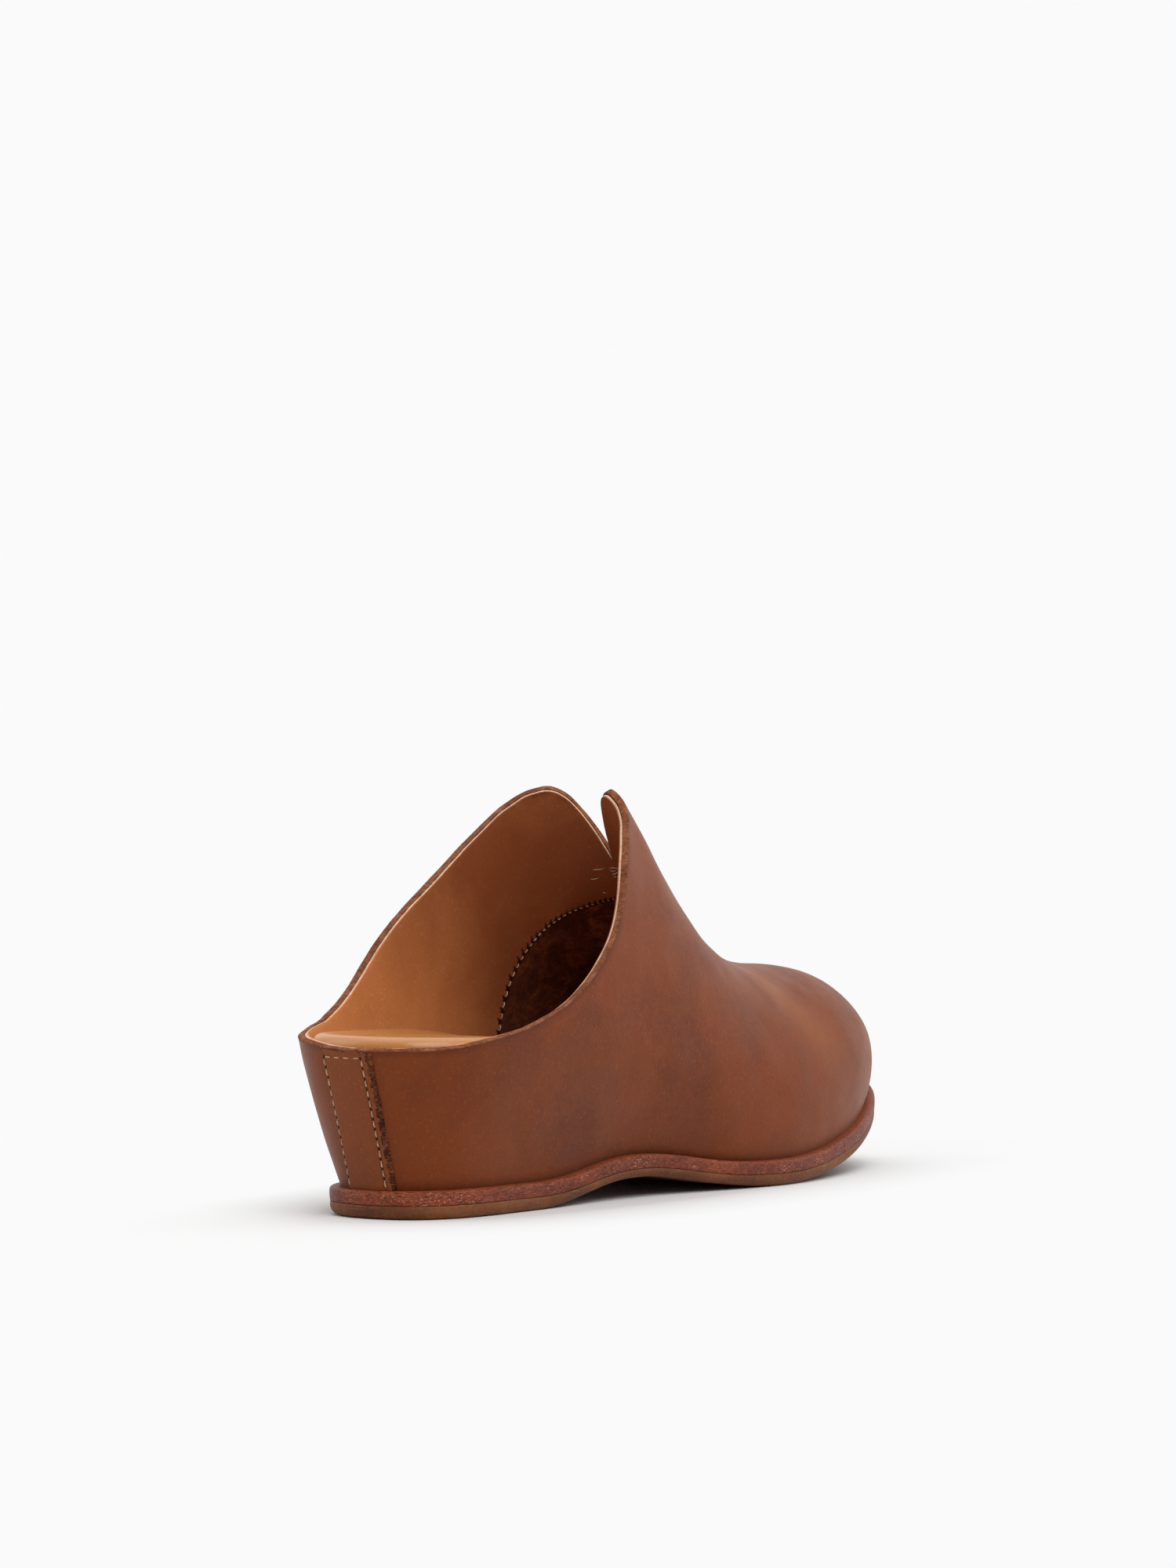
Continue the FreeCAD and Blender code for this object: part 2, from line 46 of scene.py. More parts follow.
# ---------------------------------------------------------------- splines
def spline(xs, ys):
    n = len(xs)
    h = [xs[i+1]-xs[i] for i in range(n-1)]
    a = [0.0]*n; b = [1.0]*n; c = [0.0]*n; d = [0.0]*n
    for i in range(1, n-1):
        a[i] = h[i-1]; b[i] = 2*(h[i-1]+h[i]); c[i] = h[i]
        d[i] = 6*((ys[i+1]-ys[i])/h[i]-(ys[i]-ys[i-1])/h[i-1])
    for i in range(1, n):
        m = a[i]/b[i-1]; b[i] -= m*c[i-1]; d[i] -= m*d[i-1]
    M = [0.0]*n
    M[n-1] = d[n-1]/b[n-1]
    for i in range(n-2, -1, -1):
        M[i] = (d[i]-c[i]*M[i+1])/b[i]
    def f(x):
        if x <= xs[0]:
            k = (ys[1]-ys[0])/h[0]-h[0]*(2*M[0]+M[1])/6
            return ys[0]+k*(x-xs[0])
        if x >= xs[-1]:
            k = (ys[-1]-ys[-2])/h[-1]+h[-1]*(M[-2]+2*M[-1])/6
            return ys[-1]+k*(x-xs[-1])
        lo, hi = 0, n-1
        while hi-lo > 1:
            mid = (lo+hi)//2
            if xs[mid] <= x: lo = mid
            else: hi = mid
        t = x-xs[lo]; u = xs[lo+1]-x; w = h[lo]
        return (M[lo]*u**3+M[lo+1]*t**3)/(6*w)+(ys[lo]/w-M[lo]*w/6)*u+(ys[lo+1]/w-M[lo+1]*w/6)*t
    return f

def closed_curve(pts, n=1440):
    """dense closed polyline through pts (periodic cubic by wrapping)"""
    m = len(pts); k = 5
    ext = [pts[(i-k) % m] for i in range(m+2*k+1)]
    s = [0.0]
    for i in range(1, len(ext)):
        s.append(s[-1]+math.sqrt(math.hypot(ext[i][0]-ext[i-1][0], ext[i][1]-ext[i-1][1])*8.0))
    fx = spline(s, [p[0] for p in ext]); fy = spline(s, [p[1] for p in ext])
    s0, s1 = s[k], s[k+m]
    return [(fx(s0+(s1-s0)*i/n), fy(s0+(s1-s0)*i/n)) for i in range(n)]

# ---------------------------------------------------------------- plan outlines (heel frame)
XH, XT = 23.0, 197.0          # centres of the heel fan and the toe fan
X_NOTCH = 123.4
SOLE_NEAR = [(1.5,-9.5),(7,-17.0),(19,-22.7),(42,-25.2),(70,-27),(95,-29.5),(118,-34),(140,-39.2),(155,-41.4),(170,-41.6),(190,-39.4),(206,-35.4),(219,-30.3),(229.5,-24.4),(237.8,-17.0),(243.3,-8.2)]
SOLE_FAR = [(1.5,9.5),(7,17.0),(19,22.7),(42,25),(70,24.8),(95,25.8),(118,30),(140,36.3),(162,41),(184,42.5),(205,39.8),(223,32.2),(236,22.6),(243.6,11.6)]
def ring(near, far, heel, toe=None):
    r = [heel]+near+([toe] if toe else [])+[p for p in reversed(far)]
    return closed_curve(r)
SOLE = ring(SOLE_NEAR, SOLE_FAR, (0.0, 0.0), (245.6, 1.8))

def ray(poly, cx, dx, dy):
    """distance from (cx,0) along (dx,dy) to the closed polyline"""
    best = None
    n = len(poly)
    for i in range(n):
        x0, y0 = poly[i]; x1, y1 = poly[(i+1) % n]
        c0 = (x0-cx)*dy-y0*dx; c1 = (x1-cx)*dy-y1*dx
        if (c0 <= 0 < c1) or (c1 <= 0 < c0):
            f = c0/(c0-c1)
            px = x0+(x1-x0)*f-cx; py = y0+(y1-y0)*f
            r = px*dx+py*dy
            if r > 0 and (best is None or r > best): best = r
    return best

# wide outline of the upper (where the wall stands out most)
WIDE_NEAR = [(-5.7,-11.5),(-0.5,-20.2),(9.5,-27.8),(24,-31.6),(45,-33.8),(65,-35.2),(85,-36.0),(105,-37.2),(123,-38.8),(140,-40.0),(155,-40.9),(170,-40.7),(190,-38.3),(206,-34.6),(219.4,-29.4),(229.3,-23.6),(237.0,-16.3),(242.0,-7.9)]
WIDE_FAR = [(-5.9,12.1),(-1.2,21.1),(8.9,28.9),(23.8,32.5),(45,34.1),(65,34.6),(85,35.0),(105,35.6),(123,36.4),(140,38.2),(162,40.4),(184,41.2),(205,38.5),(222.4,31.0),(234.8,21.7),(242.0,11.1)]
WIDE = ring(WIDE_NEAR, WIDE_FAR, (-7.6, 0.0), (244.0, 1.7))

# heights
z_out = spline([0,20,40,50,57,65,73,82,92,101,107,115,127,135,145,155,162,174,187,200,213,230,247],
               [0,0,0,0,0.5,1.9,3.6,5.2,5.9,5.6,4.8,3.6,1.9,0.9,0.15,0.05,0.4,1.7,3.8,6.7,10.1,15,20.3])
z_mid = spline([0,20,40,54,64,73,82,92,102,109,119,129,145,160,172,187,200,213,230,247],
               [7.8,7.8,7.8,7.9,8.9,10.5,11.9,12.5,12.1,11.3,9.8,8.5,7.7,7.9,9.1,11.6,14.5,17.9,22.8,28.1])

# section parameters along a station measure m: heel fan -> strip -> toe fan
# m = -90*k at heel back, x in the strip, XT + for the toe (0..60)
FAN = 40.0
# wide point height, ridge height, exponent, lower wall exponent; near and far
Z_R_NEAR = spline([23,45,65,78,85,92,98,103,106.5,109,113,118.3,123.4,132,140.6,149,156,164,175,186,197,215,237],
                  [160,160,157,152,144,133.5,127.2,122.6,118.2,114.4,108.6,101.7,95.5,85.6,78.2,72.7,69.4,66.6,64.3,63.0,62.6,62.6,62.6])
Z_R_FAR = spline([23,45,65,78,87,95,101,105,110,114,119,123.4,132,140.6,149,156,164,175,186,197,215,237],
                 [190,185,178,168,154,140,131,126,119,113,104,95.5,85.6,78.2,72.7,69.4,66.6,64.3,63.0,62.6,62.6,62.6])
Z_M = spline([-17,23,45,65,85,105,123,140,160,180,197,217,237],
             [51,51,50,48.5,45,39,34,30,28,29,31,33.5,36.5])
N_EXP = spline([-17,60,105,123.4,140,160,180,197,217,237],
               [1.8,1.8,1.8,1.8,1.85,1.9,1.95,2.0,1.98,2.0])
P_LOW = spline([-17,23,60,90,123,150,197,237],
               [1.35,1.35,1.4,1.5,1.8,2.0,2.1,2.1])
INSET = 3.0

def station(m, side):
    """m: heel fan m in [-17,23] (23 = side), strip 23..197, toe fan 197..237"""
    if m < XH:
        a = (m+17.0)/40.0*math.pi/2
        return (XH, -math.cos(a), side*math.sin(a))
    if m <= XT:
        return (m, 0.0, side*1.0)
    a = (m-XT)/40.0*math.pi/2
    return (XT, math.sin(a), side*math.cos(a))

_cache = {}
def params(m, side):
    key = (round(m, 5), side)
    if key in _cache: return _cache[key]
    cx, dx, dy = station(m, side)
    rb = ray(SOLE, cx, dx, dy); rm = ray(WIDE, cx, dx, dy)
    bx = cx+dx*rb
    # feather edge: sole outline brought in by INSET
    rb -= INSET
    zb = z_mid(cx+dx*rb)
    zr = (Z_R_NEAR if side < 0 else Z_R_FAR)(m)
    r = (cx, dx, dy, rb, rm, zb, Z_M(m), zr, N_EXP(m), P_LOW(m))
    _cache[key] = r
    return r

T_LOW = 0.38       # share of the profile below the widest point
def outer(m, side, t):
    cx, dx, dy, rb, rm, zb, zm, zr, n, p = params(m, side)
    if t <= T_LOW:
        q = t/T_LOW
        rho = rb+(rm-rb)*(1-(1-q)**p)
        z = zb+(zm-zb)*q
    else:
        q = (t-T_LOW)/(1-T_LOW)
        a = q*math.pi/2
        c, s = max(math.cos(a), 0.0), math.sin(a)
        rho = rm*c**(2/n)
        z = zm+(zr-zm)*s**(2/n)
    return (cx+dx*rho, dy*rho, z)
T_NEAR = spline([-17,-7,3,13,23,30,38,46,54,62,68,72,76,80,84,88,92,96,99,101,103,104,105,106,107,109,111,113,118,121,123.4],
                [.3325,.332,.3335,.3445,.3647,.3794,.3943,.4086,.4281,.4537,.478,.4969,.5231,.56,.6052,.6474,.6902,.7297,.7655,.79,.822,.848,.871,.889,.903,.921,.933,.944,.966,.981,1.0])
T_FAR = spline([-17,-12,-7,-2,3,8,13,18,23,30,38,46,54,62,68,72,76,80,84,88,92,96,99,101,103,105,107,109,111,113,115,118,121,123.4],
               [.3325,.335,.339,.344,.349,.3537,.36,.3711,.3835,.3985,.4204,.448,.4732,.4963,.5134,.5264,.5419,.5614,.5864,.6172,.6552,.7041,.7428,.7716,.7965,.8224,.8465,.8680,.886,.9009,.9163,.943,.9741,1.0])
def t_cut(m, side):
    if m >= X_NOTCH: return 1.0
    if m <= -17.0: return .3325
    return min(1.0, (T_NEAR if side < 0 else T_FAR)(m))


def to_row(p):
    a = np.asarray(p, float).reshape(-1, 3).copy()
    a[:, 0] += SHIFT_X; a[:, 1] += SHIFT_Y
    return a/1000.0

def normal(m, side, t):
    dm = 0.25; dt = 0.004
    m = min(max(m, -17.0+1e-6), 237.0-1e-6)
    a = outer(max(m-dm, -17.0), side, t); b = outer(min(m+dm, 237.0), side, t)
    t0, t1 = max(t-dt, 0.0), min(t+dt, 1.0)
    if t > 0.999:
        dx, dz = b[0]-a[0], b[2]-a[2]
        if m > XT: return (0.0, 0.0, 1.0)
        l = math.hypot(dx, dz); return (-dz/l, 0.0, dx/l)
    c = outer(m, side, t0); d = outer(m, side, t1)
    ux, uy, uz = b[0]-a[0], b[1]-a[1], b[2]-a[2]
    vx, vy, vz = d[0]-c[0], d[1]-c[1], d[2]-c[2]
    nx, ny, nz = uy*vz-uz*vy, uz*vx-ux*vz, ux*vy-uy*vx
    l = math.sqrt(nx*nx+ny*ny+nz*nz) or 1.0
    nx, ny, nz = nx/l, ny/l, nz/l
    cx, sx, sy = station(m, side)
    p = outer(m, side, t)
    if (p[0]-cx)*nx+p[1]*ny+(p[2]-25.0)*0.6*nz < 0: nx, ny, nz = -nx, -ny, -nz
    if m <= -17.0+1e-3 or m >= 237.0-1e-3:
        ny = 0.0; l = math.hypot(nx, nz); nx, nz = nx/l, nz/l
    return (nx, ny, nz)

def wall(m, side, t, d):
    p = outer(m, side, t); n = normal(m, side, t)
    return (p[0]-n[0]*d, p[1]-n[1]*d, p[2]-n[2]*d)

def signed(ang, t, d):
    side = 1 if ang >= 0 else -1
    return wall(-17.0+abs(ang)/90.0*40.0, side, t, d)

# ================================================================ mesh helpers
def link(o):
    bpy.context.scene.collection.objects.link(o); return o

def mesh_object(name, verts_mm, faces, mats, face_mats=None, smooth=True):
    me = bpy.data.meshes.new(name)
    me.from_pydata([tuple(v) for v in to_row(verts_mm)], [], [tuple(f) for f in faces])
    for m in mats: me.materials.append(m)
    if face_mats is not None:
        me.polygons.foreach_set("material_index", np.asarray(face_mats, np.int32))
    me.polygons.foreach_set("use_smooth", np.full(len(me.polygons), smooth))
    me.update()
    return link(bpy.data.objects.new(name, me))

def recalc(o):
    bm = bmesh.new(); bm.from_mesh(o.data)
    bmesh.ops.recalc_face_normals(bm, faces=bm.faces)
    bm.to_mesh(o.data); bm.free()

class Sheet:
    """welded quad sheet built from grids of points"""
    def __init__(self):
        self.v = []; self.f = []; self.key = {}
    def vid(self, p):
        k = (round(p[0], 3), round(p[1], 3), round(p[2], 3))
        i = self.key.get(k)
        if i is None:
            i = len(self.v); self.key[k] = i; self.v.append(p)
        return i
    def grid(self, g, flip=False):
        ids = [[self.vid(p) for p in r] for r in g]
        for i in range(len(ids)-1):
            for j in range(len(ids[0])-1):
                q = [ids[i][j], ids[i+1][j], ids[i+1][j+1], ids[i][j+1]]
                u = []
                for a in q:
                    if a not in u: u.append(a)
                if len(u) >= 3: self.f.append(tuple(reversed(u)) if flip else tuple(u))

def neighbours(nv, faces):
    nb = [set() for _ in range(nv)]
    cnt = {}
    for f in faces:
        k = len(f)
        for i in range(k):
            a, b = f[i], f[(i+1) % k]
            nb[a].add(b); nb[b].add(a)
            e = (min(a, b), max(a, b)); cnt[e] = cnt.get(e, 0)+1
    border = {e for e, c in cnt.items() if c == 1}
    return nb, border

def vertex_normals(V, faces):
    N = np.zeros_like(V)
    for k in {len(f) for f in faces}:
        Fk = np.array([f for f in faces if len(f) == k])
        c = np.zeros((len(Fk), 3))
        for i in range(k):
            c += np.cross(V[Fk[:, i]]-V[Fk[:, 0]], V[Fk[:, (i+1) % k]]-V[Fk[:, 0]])
        for i in range(k): np.add.at(N, Fk[:, i], c)
    l = np.linalg.norm(N, axis=1); l[l == 0] = 1
    return N/l[:, None]

def smooth_sheet(V, faces, it, fixed=None, lam=0.5):
    nb, border = neighbours(len(V), faces)
    pin = {i for e in border for i in e}
    if fixed is not None: pin |= set(np.nonzero(fixed)[0].tolist())
    idx = np.array([i for i in range(len(V)) if i not in pin and nb[i]])
    mx = max(len(nb[i]) for i in idx)
    tab = np.array([list(nb[i])+[-1]*(mx-len(nb[i])) for i in idx])
    w = (tab >= 0).astype(float); tab2 = np.where(tab < 0, 0, tab)
    for _ in range(it):
        avg = (V[tab2]*w[..., None]).sum(1)/w.sum(1)[:, None]
        V[idx] = V[idx]*(1-lam)+avg*lam
    return V

def loops_of(border_dir):
    nxt = {}
    for a, b in border_dir: nxt[a] = b
    loops = []
    while nxt:
        s = next(iter(nxt)); l = [s]; c = nxt.pop(s)
        while c != s:
            l.append(c); c = nxt.pop(c)
        loops.append(l)
    return loops

def thicken(V, faces, thick, round_r=0.25, rim_fn=None, in_shift=None, NRM=None):
    """closed leather piece: outer sheet V (normals outward), inner sheet thick deeper, rounded cut edges.
    returns verts, faces, tag (0 outer, 1 inner, 2 rim)"""
    N = vertex_normals(V, faces) if NRM is None else NRM
    nv = len(V)
    inner = V-N*thick
    if in_shift is not None: inner = in_shift(inner, V)
    verts = [V, inner]; out = [tuple(f) for f in faces]; tag = [0]*len(faces)
    out += [tuple(i+nv for i in reversed(f)) for f in faces]; tag += [1]*len(faces)
    cnt = {}
    for f in faces:
        for i in range(len(f)):
            cnt[(f[i], f[(i+1) % len(f)])] = 1
    bd = [(a, b) for (a, b) in cnt if (b, a) not in cnt]
    base = 2*nv
    for lp in loops_of(bd):
        n = len(lp); P = V[lp]; Q = inner[lp]
        nxt = np.roll(P, -1, 0); prv = np.roll(P, 1, 0)
        tan = nxt-prv; tan /= np.maximum(np.linalg.norm(tan, axis=1), 1e-9)[:, None]
        nn = N[lp]
        out_dir = np.cross(tan, nn)
        out_dir /= np.maximum(np.linalg.norm(out_dir, axis=1), 1e-9)[:, None]
        r = round_r
        steps = [(0.0, 0.0)]
        rings = []
        for (e, s) in ((0.55*r, 0.08*r), (0.9*r, 0.35*r), (1.0*r, 0.9*r)):
            rings.append(P+out_dir*e-nn*s)
        A = P+out_dir*r-nn*0.9*r; B = Q+out_dir*r+nn*0.9*r
        for k in (1, 2):
            rings.append(A+(B-A)*k/3.0)
        for (e, s) in ((1.0*r, 0.9*r), (0.9*r, 0.35*r), (0.55*r, 0.08*r)):
            rings.append(Q+out_dir*e+nn*s)
        if rim_fn is not None: rings = [rim_fn(x, P, k, len(rings)) for k, x in enumerate(rings)]
        ids = [list(lp)]
        for R in rings:
            verts.append(R); ids.append(list(range(base, base+n))); base += n
        ids.append([i+nv for i in lp])
        for q, (a, b) in enumerate(zip(ids[:-1], ids[1:])):
            for i in range(n):
                j = (i+1) % n
                out.append((a[j], a[i], b[i], b[j])); tag.append(2 if q < 5 else 3)
    return np.vstack(verts), out, np.array(tag)

def fnoise(P, scale, seed=0):
    """cheap smooth 3-D noise from sines, deterministic"""
    r = np.random.default_rng(seed); s = np.zeros(len(P))
    for _ in range(10):
        k = r.normal(size=3); k /= np.linalg.norm(k); k *= 2*math.pi/scale*r.uniform(0.6, 1.6)
        s += np.sin(P@k+r.uniform(0, 6.28))
    return s/math.sqrt(10)

# ================================================================ materials
def NT(name):
    m = bpy.data.materials.new(name); m.use_nodes = True
    nt = m.node_tree; nt.nodes.clear()
    out = nt.nodes.new("ShaderNodeOutputMaterial")
    b = nt.nodes.new("ShaderNodeBsdfPrincipled")
    nt.links.new(b.outputs[0], out.inputs[0])
    return m, nt, b

class G:
    def __init__(self, nt):
        self.nt = nt
        self.co = nt.nodes.new("ShaderNodeTexCoord").outputs["Object"]
    def link(self, a, b): self.nt.links.new(a, b)
    def mapping(self, scale=(1, 1, 1), rot=(0, 0, 0), src=None):
        n = self.nt.nodes.new("ShaderNodeMapping")
        n.inputs["Scale"].default_value = scale; n.inputs["Rotation"].default_value = rot
        self.link(src or self.co, n.inputs[0]); return n.outputs[0]
    def noise(self, scale, detail=3, rough=0.55, src=None, dist=0.0):
        n = self.nt.nodes.new("ShaderNodeTexNoise")
        n.inputs["Scale"].default_value = scale; n.inputs["Detail"].default_value = detail
        n.inputs["Roughness"].default_value = rough; n.inputs["Distortion"].default_value = dist
        self.link(src or self.co, n.inputs["Vector"]); return n.outputs["Fac"]
    def voronoi(self, scale, feature="F1", src=None, rand=1.0):
        n = self.nt.nodes.new("ShaderNodeTexVoronoi"); n.feature = feature
        n.inputs["Scale"].default_value = scale; n.inputs["Randomness"].default_value = rand
        self.link(src or self.co, n.inputs["Vector"]); return n.outputs["Distance"]
    def ramp(self, fac, stops, interp="LINEAR"):
        n = self.nt.nodes.new("ShaderNodeValToRGB"); cr = n.color_ramp; cr.interpolation = interp
        while len(cr.elements) < len(stops): cr.elements.new(0.5)
        for e, (p, c) in zip(cr.elements, stops):
            e.position = p
            e.color = (*c, 1) if isinstance(c, (tuple, list)) else (c, c, c, 1)
        self.link(fac, n.inputs[0]); return n.outputs[0]
    def mix(self, fac, a, b, mode="MIX"):
        n = self.nt.nodes.new("ShaderNodeMix"); n.data_type = "RGBA"; n.blend_type = mode
        for s, v in ((n.inputs[0], fac), (n.inputs[6], a), (n.inputs[7], b)):
            if hasattr(v, "links") or hasattr(v, "is_linked"): self.link(v, s)
            elif isinstance(v, (tuple, list)): s.default_value = (*v, 1)
            else: s.default_value = v
        return n.outputs[2]
    def math(self, op, a, b=None, c=None, clamp=False):
        n = self.nt.nodes.new("ShaderNodeMath"); n.operation = op; n.use_clamp = clamp
        for s, v in zip(n.inputs, (a, b, c)):
            if v is None: continue
            if hasattr(v, "is_linked"): self.link(v, s)
            else: s.default_value = v
        return n.outputs[0]
    def mapr(self, v, a, b, c, d, clamp=True):
        n = self.nt.nodes.new("ShaderNodeMapRange"); n.clamp = clamp
        for i, x in enumerate((a, b, c, d)): n.inputs[i+1].default_value = x
        self.link(v, n.inputs[0]); return n.outputs[0]
    def attr(self, name):
        n = self.nt.nodes.new("ShaderNodeAttribute"); n.attribute_name = name
        return n.outputs["Fac"]
    def bump(self, h, dist, strength=1.0, prev=None):
        n = self.nt.nodes.new("ShaderNodeBump")
        n.inputs["Strength"].default_value = strength; n.inputs["Distance"].default_value = dist
        self.link(h, n.inputs["Height"])
        if prev is not None: self.link(prev, n.inputs["Normal"])
        return n.outputs[0]
    def sep(self, src=None):
        n = self.nt.nodes.new("ShaderNodeSeparateXYZ"); self.link(src or self.co, n.inputs[0]); return n.outputs

def leather(name, dark, mid, light, rough=0.48, grain=1.0, mott=1.0, sheen=0.0, coat=0.0, edge=None, scale=1.0, red=None, spec=0.45, grey=None, fade=False):
    m, nt, b = NT(name); g = G(nt)
    big = g.noise(20*scale, 4, 0.6, dist=0.15)
    medn = g.noise(70*scale, 4, 0.6)
    fine = g.noise(650*scale, 3, 0.6)
    f = g.math("ADD", g.math("MULTIPLY", big, 0.62*mott), g.math("MULTIPLY", medn, 0.30*mott))
    speck = g.noise(270*scale, 3, 0.65)
    f = g.math("ADD", f, g.math("ADD", g.math("MULTIPLY", fine, 0.26), g.math("MULTIPLY", speck, 0.16*mott)))
    c0 = 0.59-0.12*mott
    col = g.ramp(f, [(max(c0-0.12, 0.0), dark), (c0+0.02, mid), (c0+0.20, light)])
    if red is not None:
        rn = g.noise(28*scale, 3, 0.5)
        col = g.mix(g.mapr(rn, 0.5, 0.70, 0.0, 0.65), col, red)
    if grey is not None:
        gn = g.noise(21*scale, 4, 0.6, src=g.mapping((1.0, 1.0, 1.0), (0.3, 0.5, 1.1)), dist=0.2)
        col = g.mix(g.mapr(gn, 0.50, 0.72, 0.0, 0.50), col, grey)
    # dust-fine pale grain, as on waxed leather
    dots = g.mapr(g.noise(1150, 2, 0.5), 0.58, 0.70, 0.0, 0.40*mott)
    col = g.mix(dots, col, tuple(min(x*1.7, 1.0) for x in light))
    # painted highlight: lighter orange mixed in along the vamp ridge, by per-vertex weight
    ridge_highlight_w = g.attr("painted_ridge_highlight")
    col = g.mix(g.math("MULTIPLY", ridge_highlight_w, g.mapr(medn, 0.3, 0.7, 0.25, 0.75)), col, (0.250, 0.068, 0.012))
    if fade:
        x, y, z = g.sep()
        # painted shade: pale over the heel, darker towards the vamp, where the vamp and the near wall shade the lining
        k = g.mapr(g.math("ADD", x, g.math("MULTIPLY", z, 1.2)), -0.032, 0.076, 0.0, 1.0)
        k = g.math("ADD", k, g.math("MULTIPLY", g.math("SUBTRACT", g.noise(34, 4, 0.6, dist=0.5), 0.5), 0.75), clamp=True)
        col = g.mix(k, col, (0.40, 0.275, 0.25), "MULTIPLY")
    # pores
    pore = g.voronoi(1150*scale)
    pm = g.mapr(pore, 0.05, 0.26, 1.0, 0.0)
    gate = g.mapr(g.noise(240*scale, 2), 0.48, 0.62, 0.0, 1.0)
    pores = g.math("MULTIPLY", pm, gate)
    col = g.mix(g.math("MULTIPLY", pores, 0.30), col, tuple(x*0.45 for x in dark))
    if edge is not None:
        e = g.attr("edge")
        e2 = g.math("MULTIPLY", e, g.mapr(g.noise(220, 3), 0.3, 0.7, 0.5, 1.0))
        col = g.mix(e2, col, edge)
    nt.links.new(col, b.inputs["Base Color"])
    r = g.mapr(g.noise(95*scale, 4, 0.65), 0.25, 0.75, rough-0.07, rough+0.10)
    r = g.math("ADD", r, g.math("MULTIPLY", fine, 0.06))
    nt.links.new(r, b.inputs["Roughness"])
    crease = g.voronoi(820*scale, "DISTANCE_TO_EDGE", src=g.mapping((1, 1.25, 1)))
    h1 = g.mapr(crease, 0.0, 0.16, 0.0, 1.0)
    n1 = g.bump(h1, 0.000045*grain, 0.55)
    n2 = g.bump(g.math("MULTIPLY", pores, -1.0), 0.00006*grain, 0.6, n1)
    n3 = g.bump(g.noise(420*scale, 4, 0.6), 0.00010*grain, 0.5, n2)
    n4 = g.bump(g.noise(60*scale, 3), 0.00035*grain, 0.35, n3)
    nt.links.new(n4, b.inputs["Normal"])
    b.inputs["Specular IOR Level"].default_value = spec
    b.inputs["Sheen Weight"].default_value = sheen
    b.inputs["Sheen Roughness"].default_value = 0.45
    b.inputs["Sheen Tint"].default_value = (1.0, 0.74, 0.58, 1)
    b.inputs["Coat Weight"].default_value = coat
    b.inputs["Coat Roughness"].default_value = 0.16
    return m

M_UPPER = leather("oiled_leather_upper", (0.062, 0.0115, 0.0025), (0.112, 0.0185, 0.0024), (0.168, 0.0330, 0.0046), rough=0.44, sheen=0.13, coat=0.0,
                  edge=(0.050, 0.010, 0.003), red=(0.185, 0.0350, 0.0028), spec=0.14, grey=(0.078, 0.0195, 0.0075))
M_STRIP = leather("oiled_leather_strip", (0.070, 0.0170, 0.0070), (0.128, 0.0265, 0.0060), (0.190, 0.0450, 0.0110), rough=0.46, sheen=0.13, coat=0.0,
                  edge=(0.075, 0.020, 0.007), red=(0.19, 0.042, 0.006), spec=0.14, grey=(0.072, 0.0190, 0.0100))
# the lining takes the painted shade (fade): darker towards the vamp
M_LINING = leather("tan_lining_leather", (0.60, 0.225, 0.070), (0.70, 0.275, 0.092), (0.76, 0.32, 0.115), rough=0.50, grain=0.6, mott=0.5, sheen=0.03, spec=0.3, fade=True)
M_SOCK = leather("tan_sock_leather", (0.46, 0.195, 0.058), (0.51, 0.228, 0.074), (0.56, 0.262, 0.094), rough=0.27, grain=0.25, mott=0.3, coat=0.30, spec=0.3)

def raw_edge(name, c1, c2, c3, rough=0.8, stretch=(1, 1, 3.0), depth=0.00016):
    m, nt, b = NT(name); g = G(nt)
    v = g.mapping(stretch)
    n = g.noise(900, 5, 0.7, src=v); n2 = g.noise(260, 3, 0.6)
    f = g.math("ADD", g.math("MULTIPLY", n, 0.65), g.math("MULTIPLY", n2, 0.4))
    nt.links.new(g.ramp(f, [(0.36, c1), (0.52, c2), (0.68, c3)]), b.inputs["Base Color"])
    nt.links.new(g.mapr(n, 0.3, 0.7, rough-0.08, rough+0.1), b.inputs["Roughness"])
    nt.links.new(g.bump(f, depth, 0.8), b.inputs["Normal"])
    b.inputs["Specular IOR Level"].default_value = 0.12
    return m
M_EDGE = raw_edge("upper_cut_edge", (0.060, 0.016, 0.007), (0.175, 0.054, 0.022), (0.33, 0.13, 0.062))
M_EDGE_DARK = raw_edge("strip_cut_edge", (0.016, 0.004, 0.002), (0.062, 0.014, 0.006), (0.26, 0.088, 0.034), depth=0.0003)
M_PALE = raw_edge("lining_cut_edge", (0.42, 0.22, 0.12), (0.66, 0.42, 0.27), (0.80, 0.60, 0.44), depth=0.0001)
# painted shade: near-black colour for the needle holes and the dents beside the lining seam
M_HOLE_SHADE = raw_edge("needle_hole_shade", (0.018, 0.006, 0.003), (0.040, 0.012, 0.006), (0.070, 0.022, 0.010))

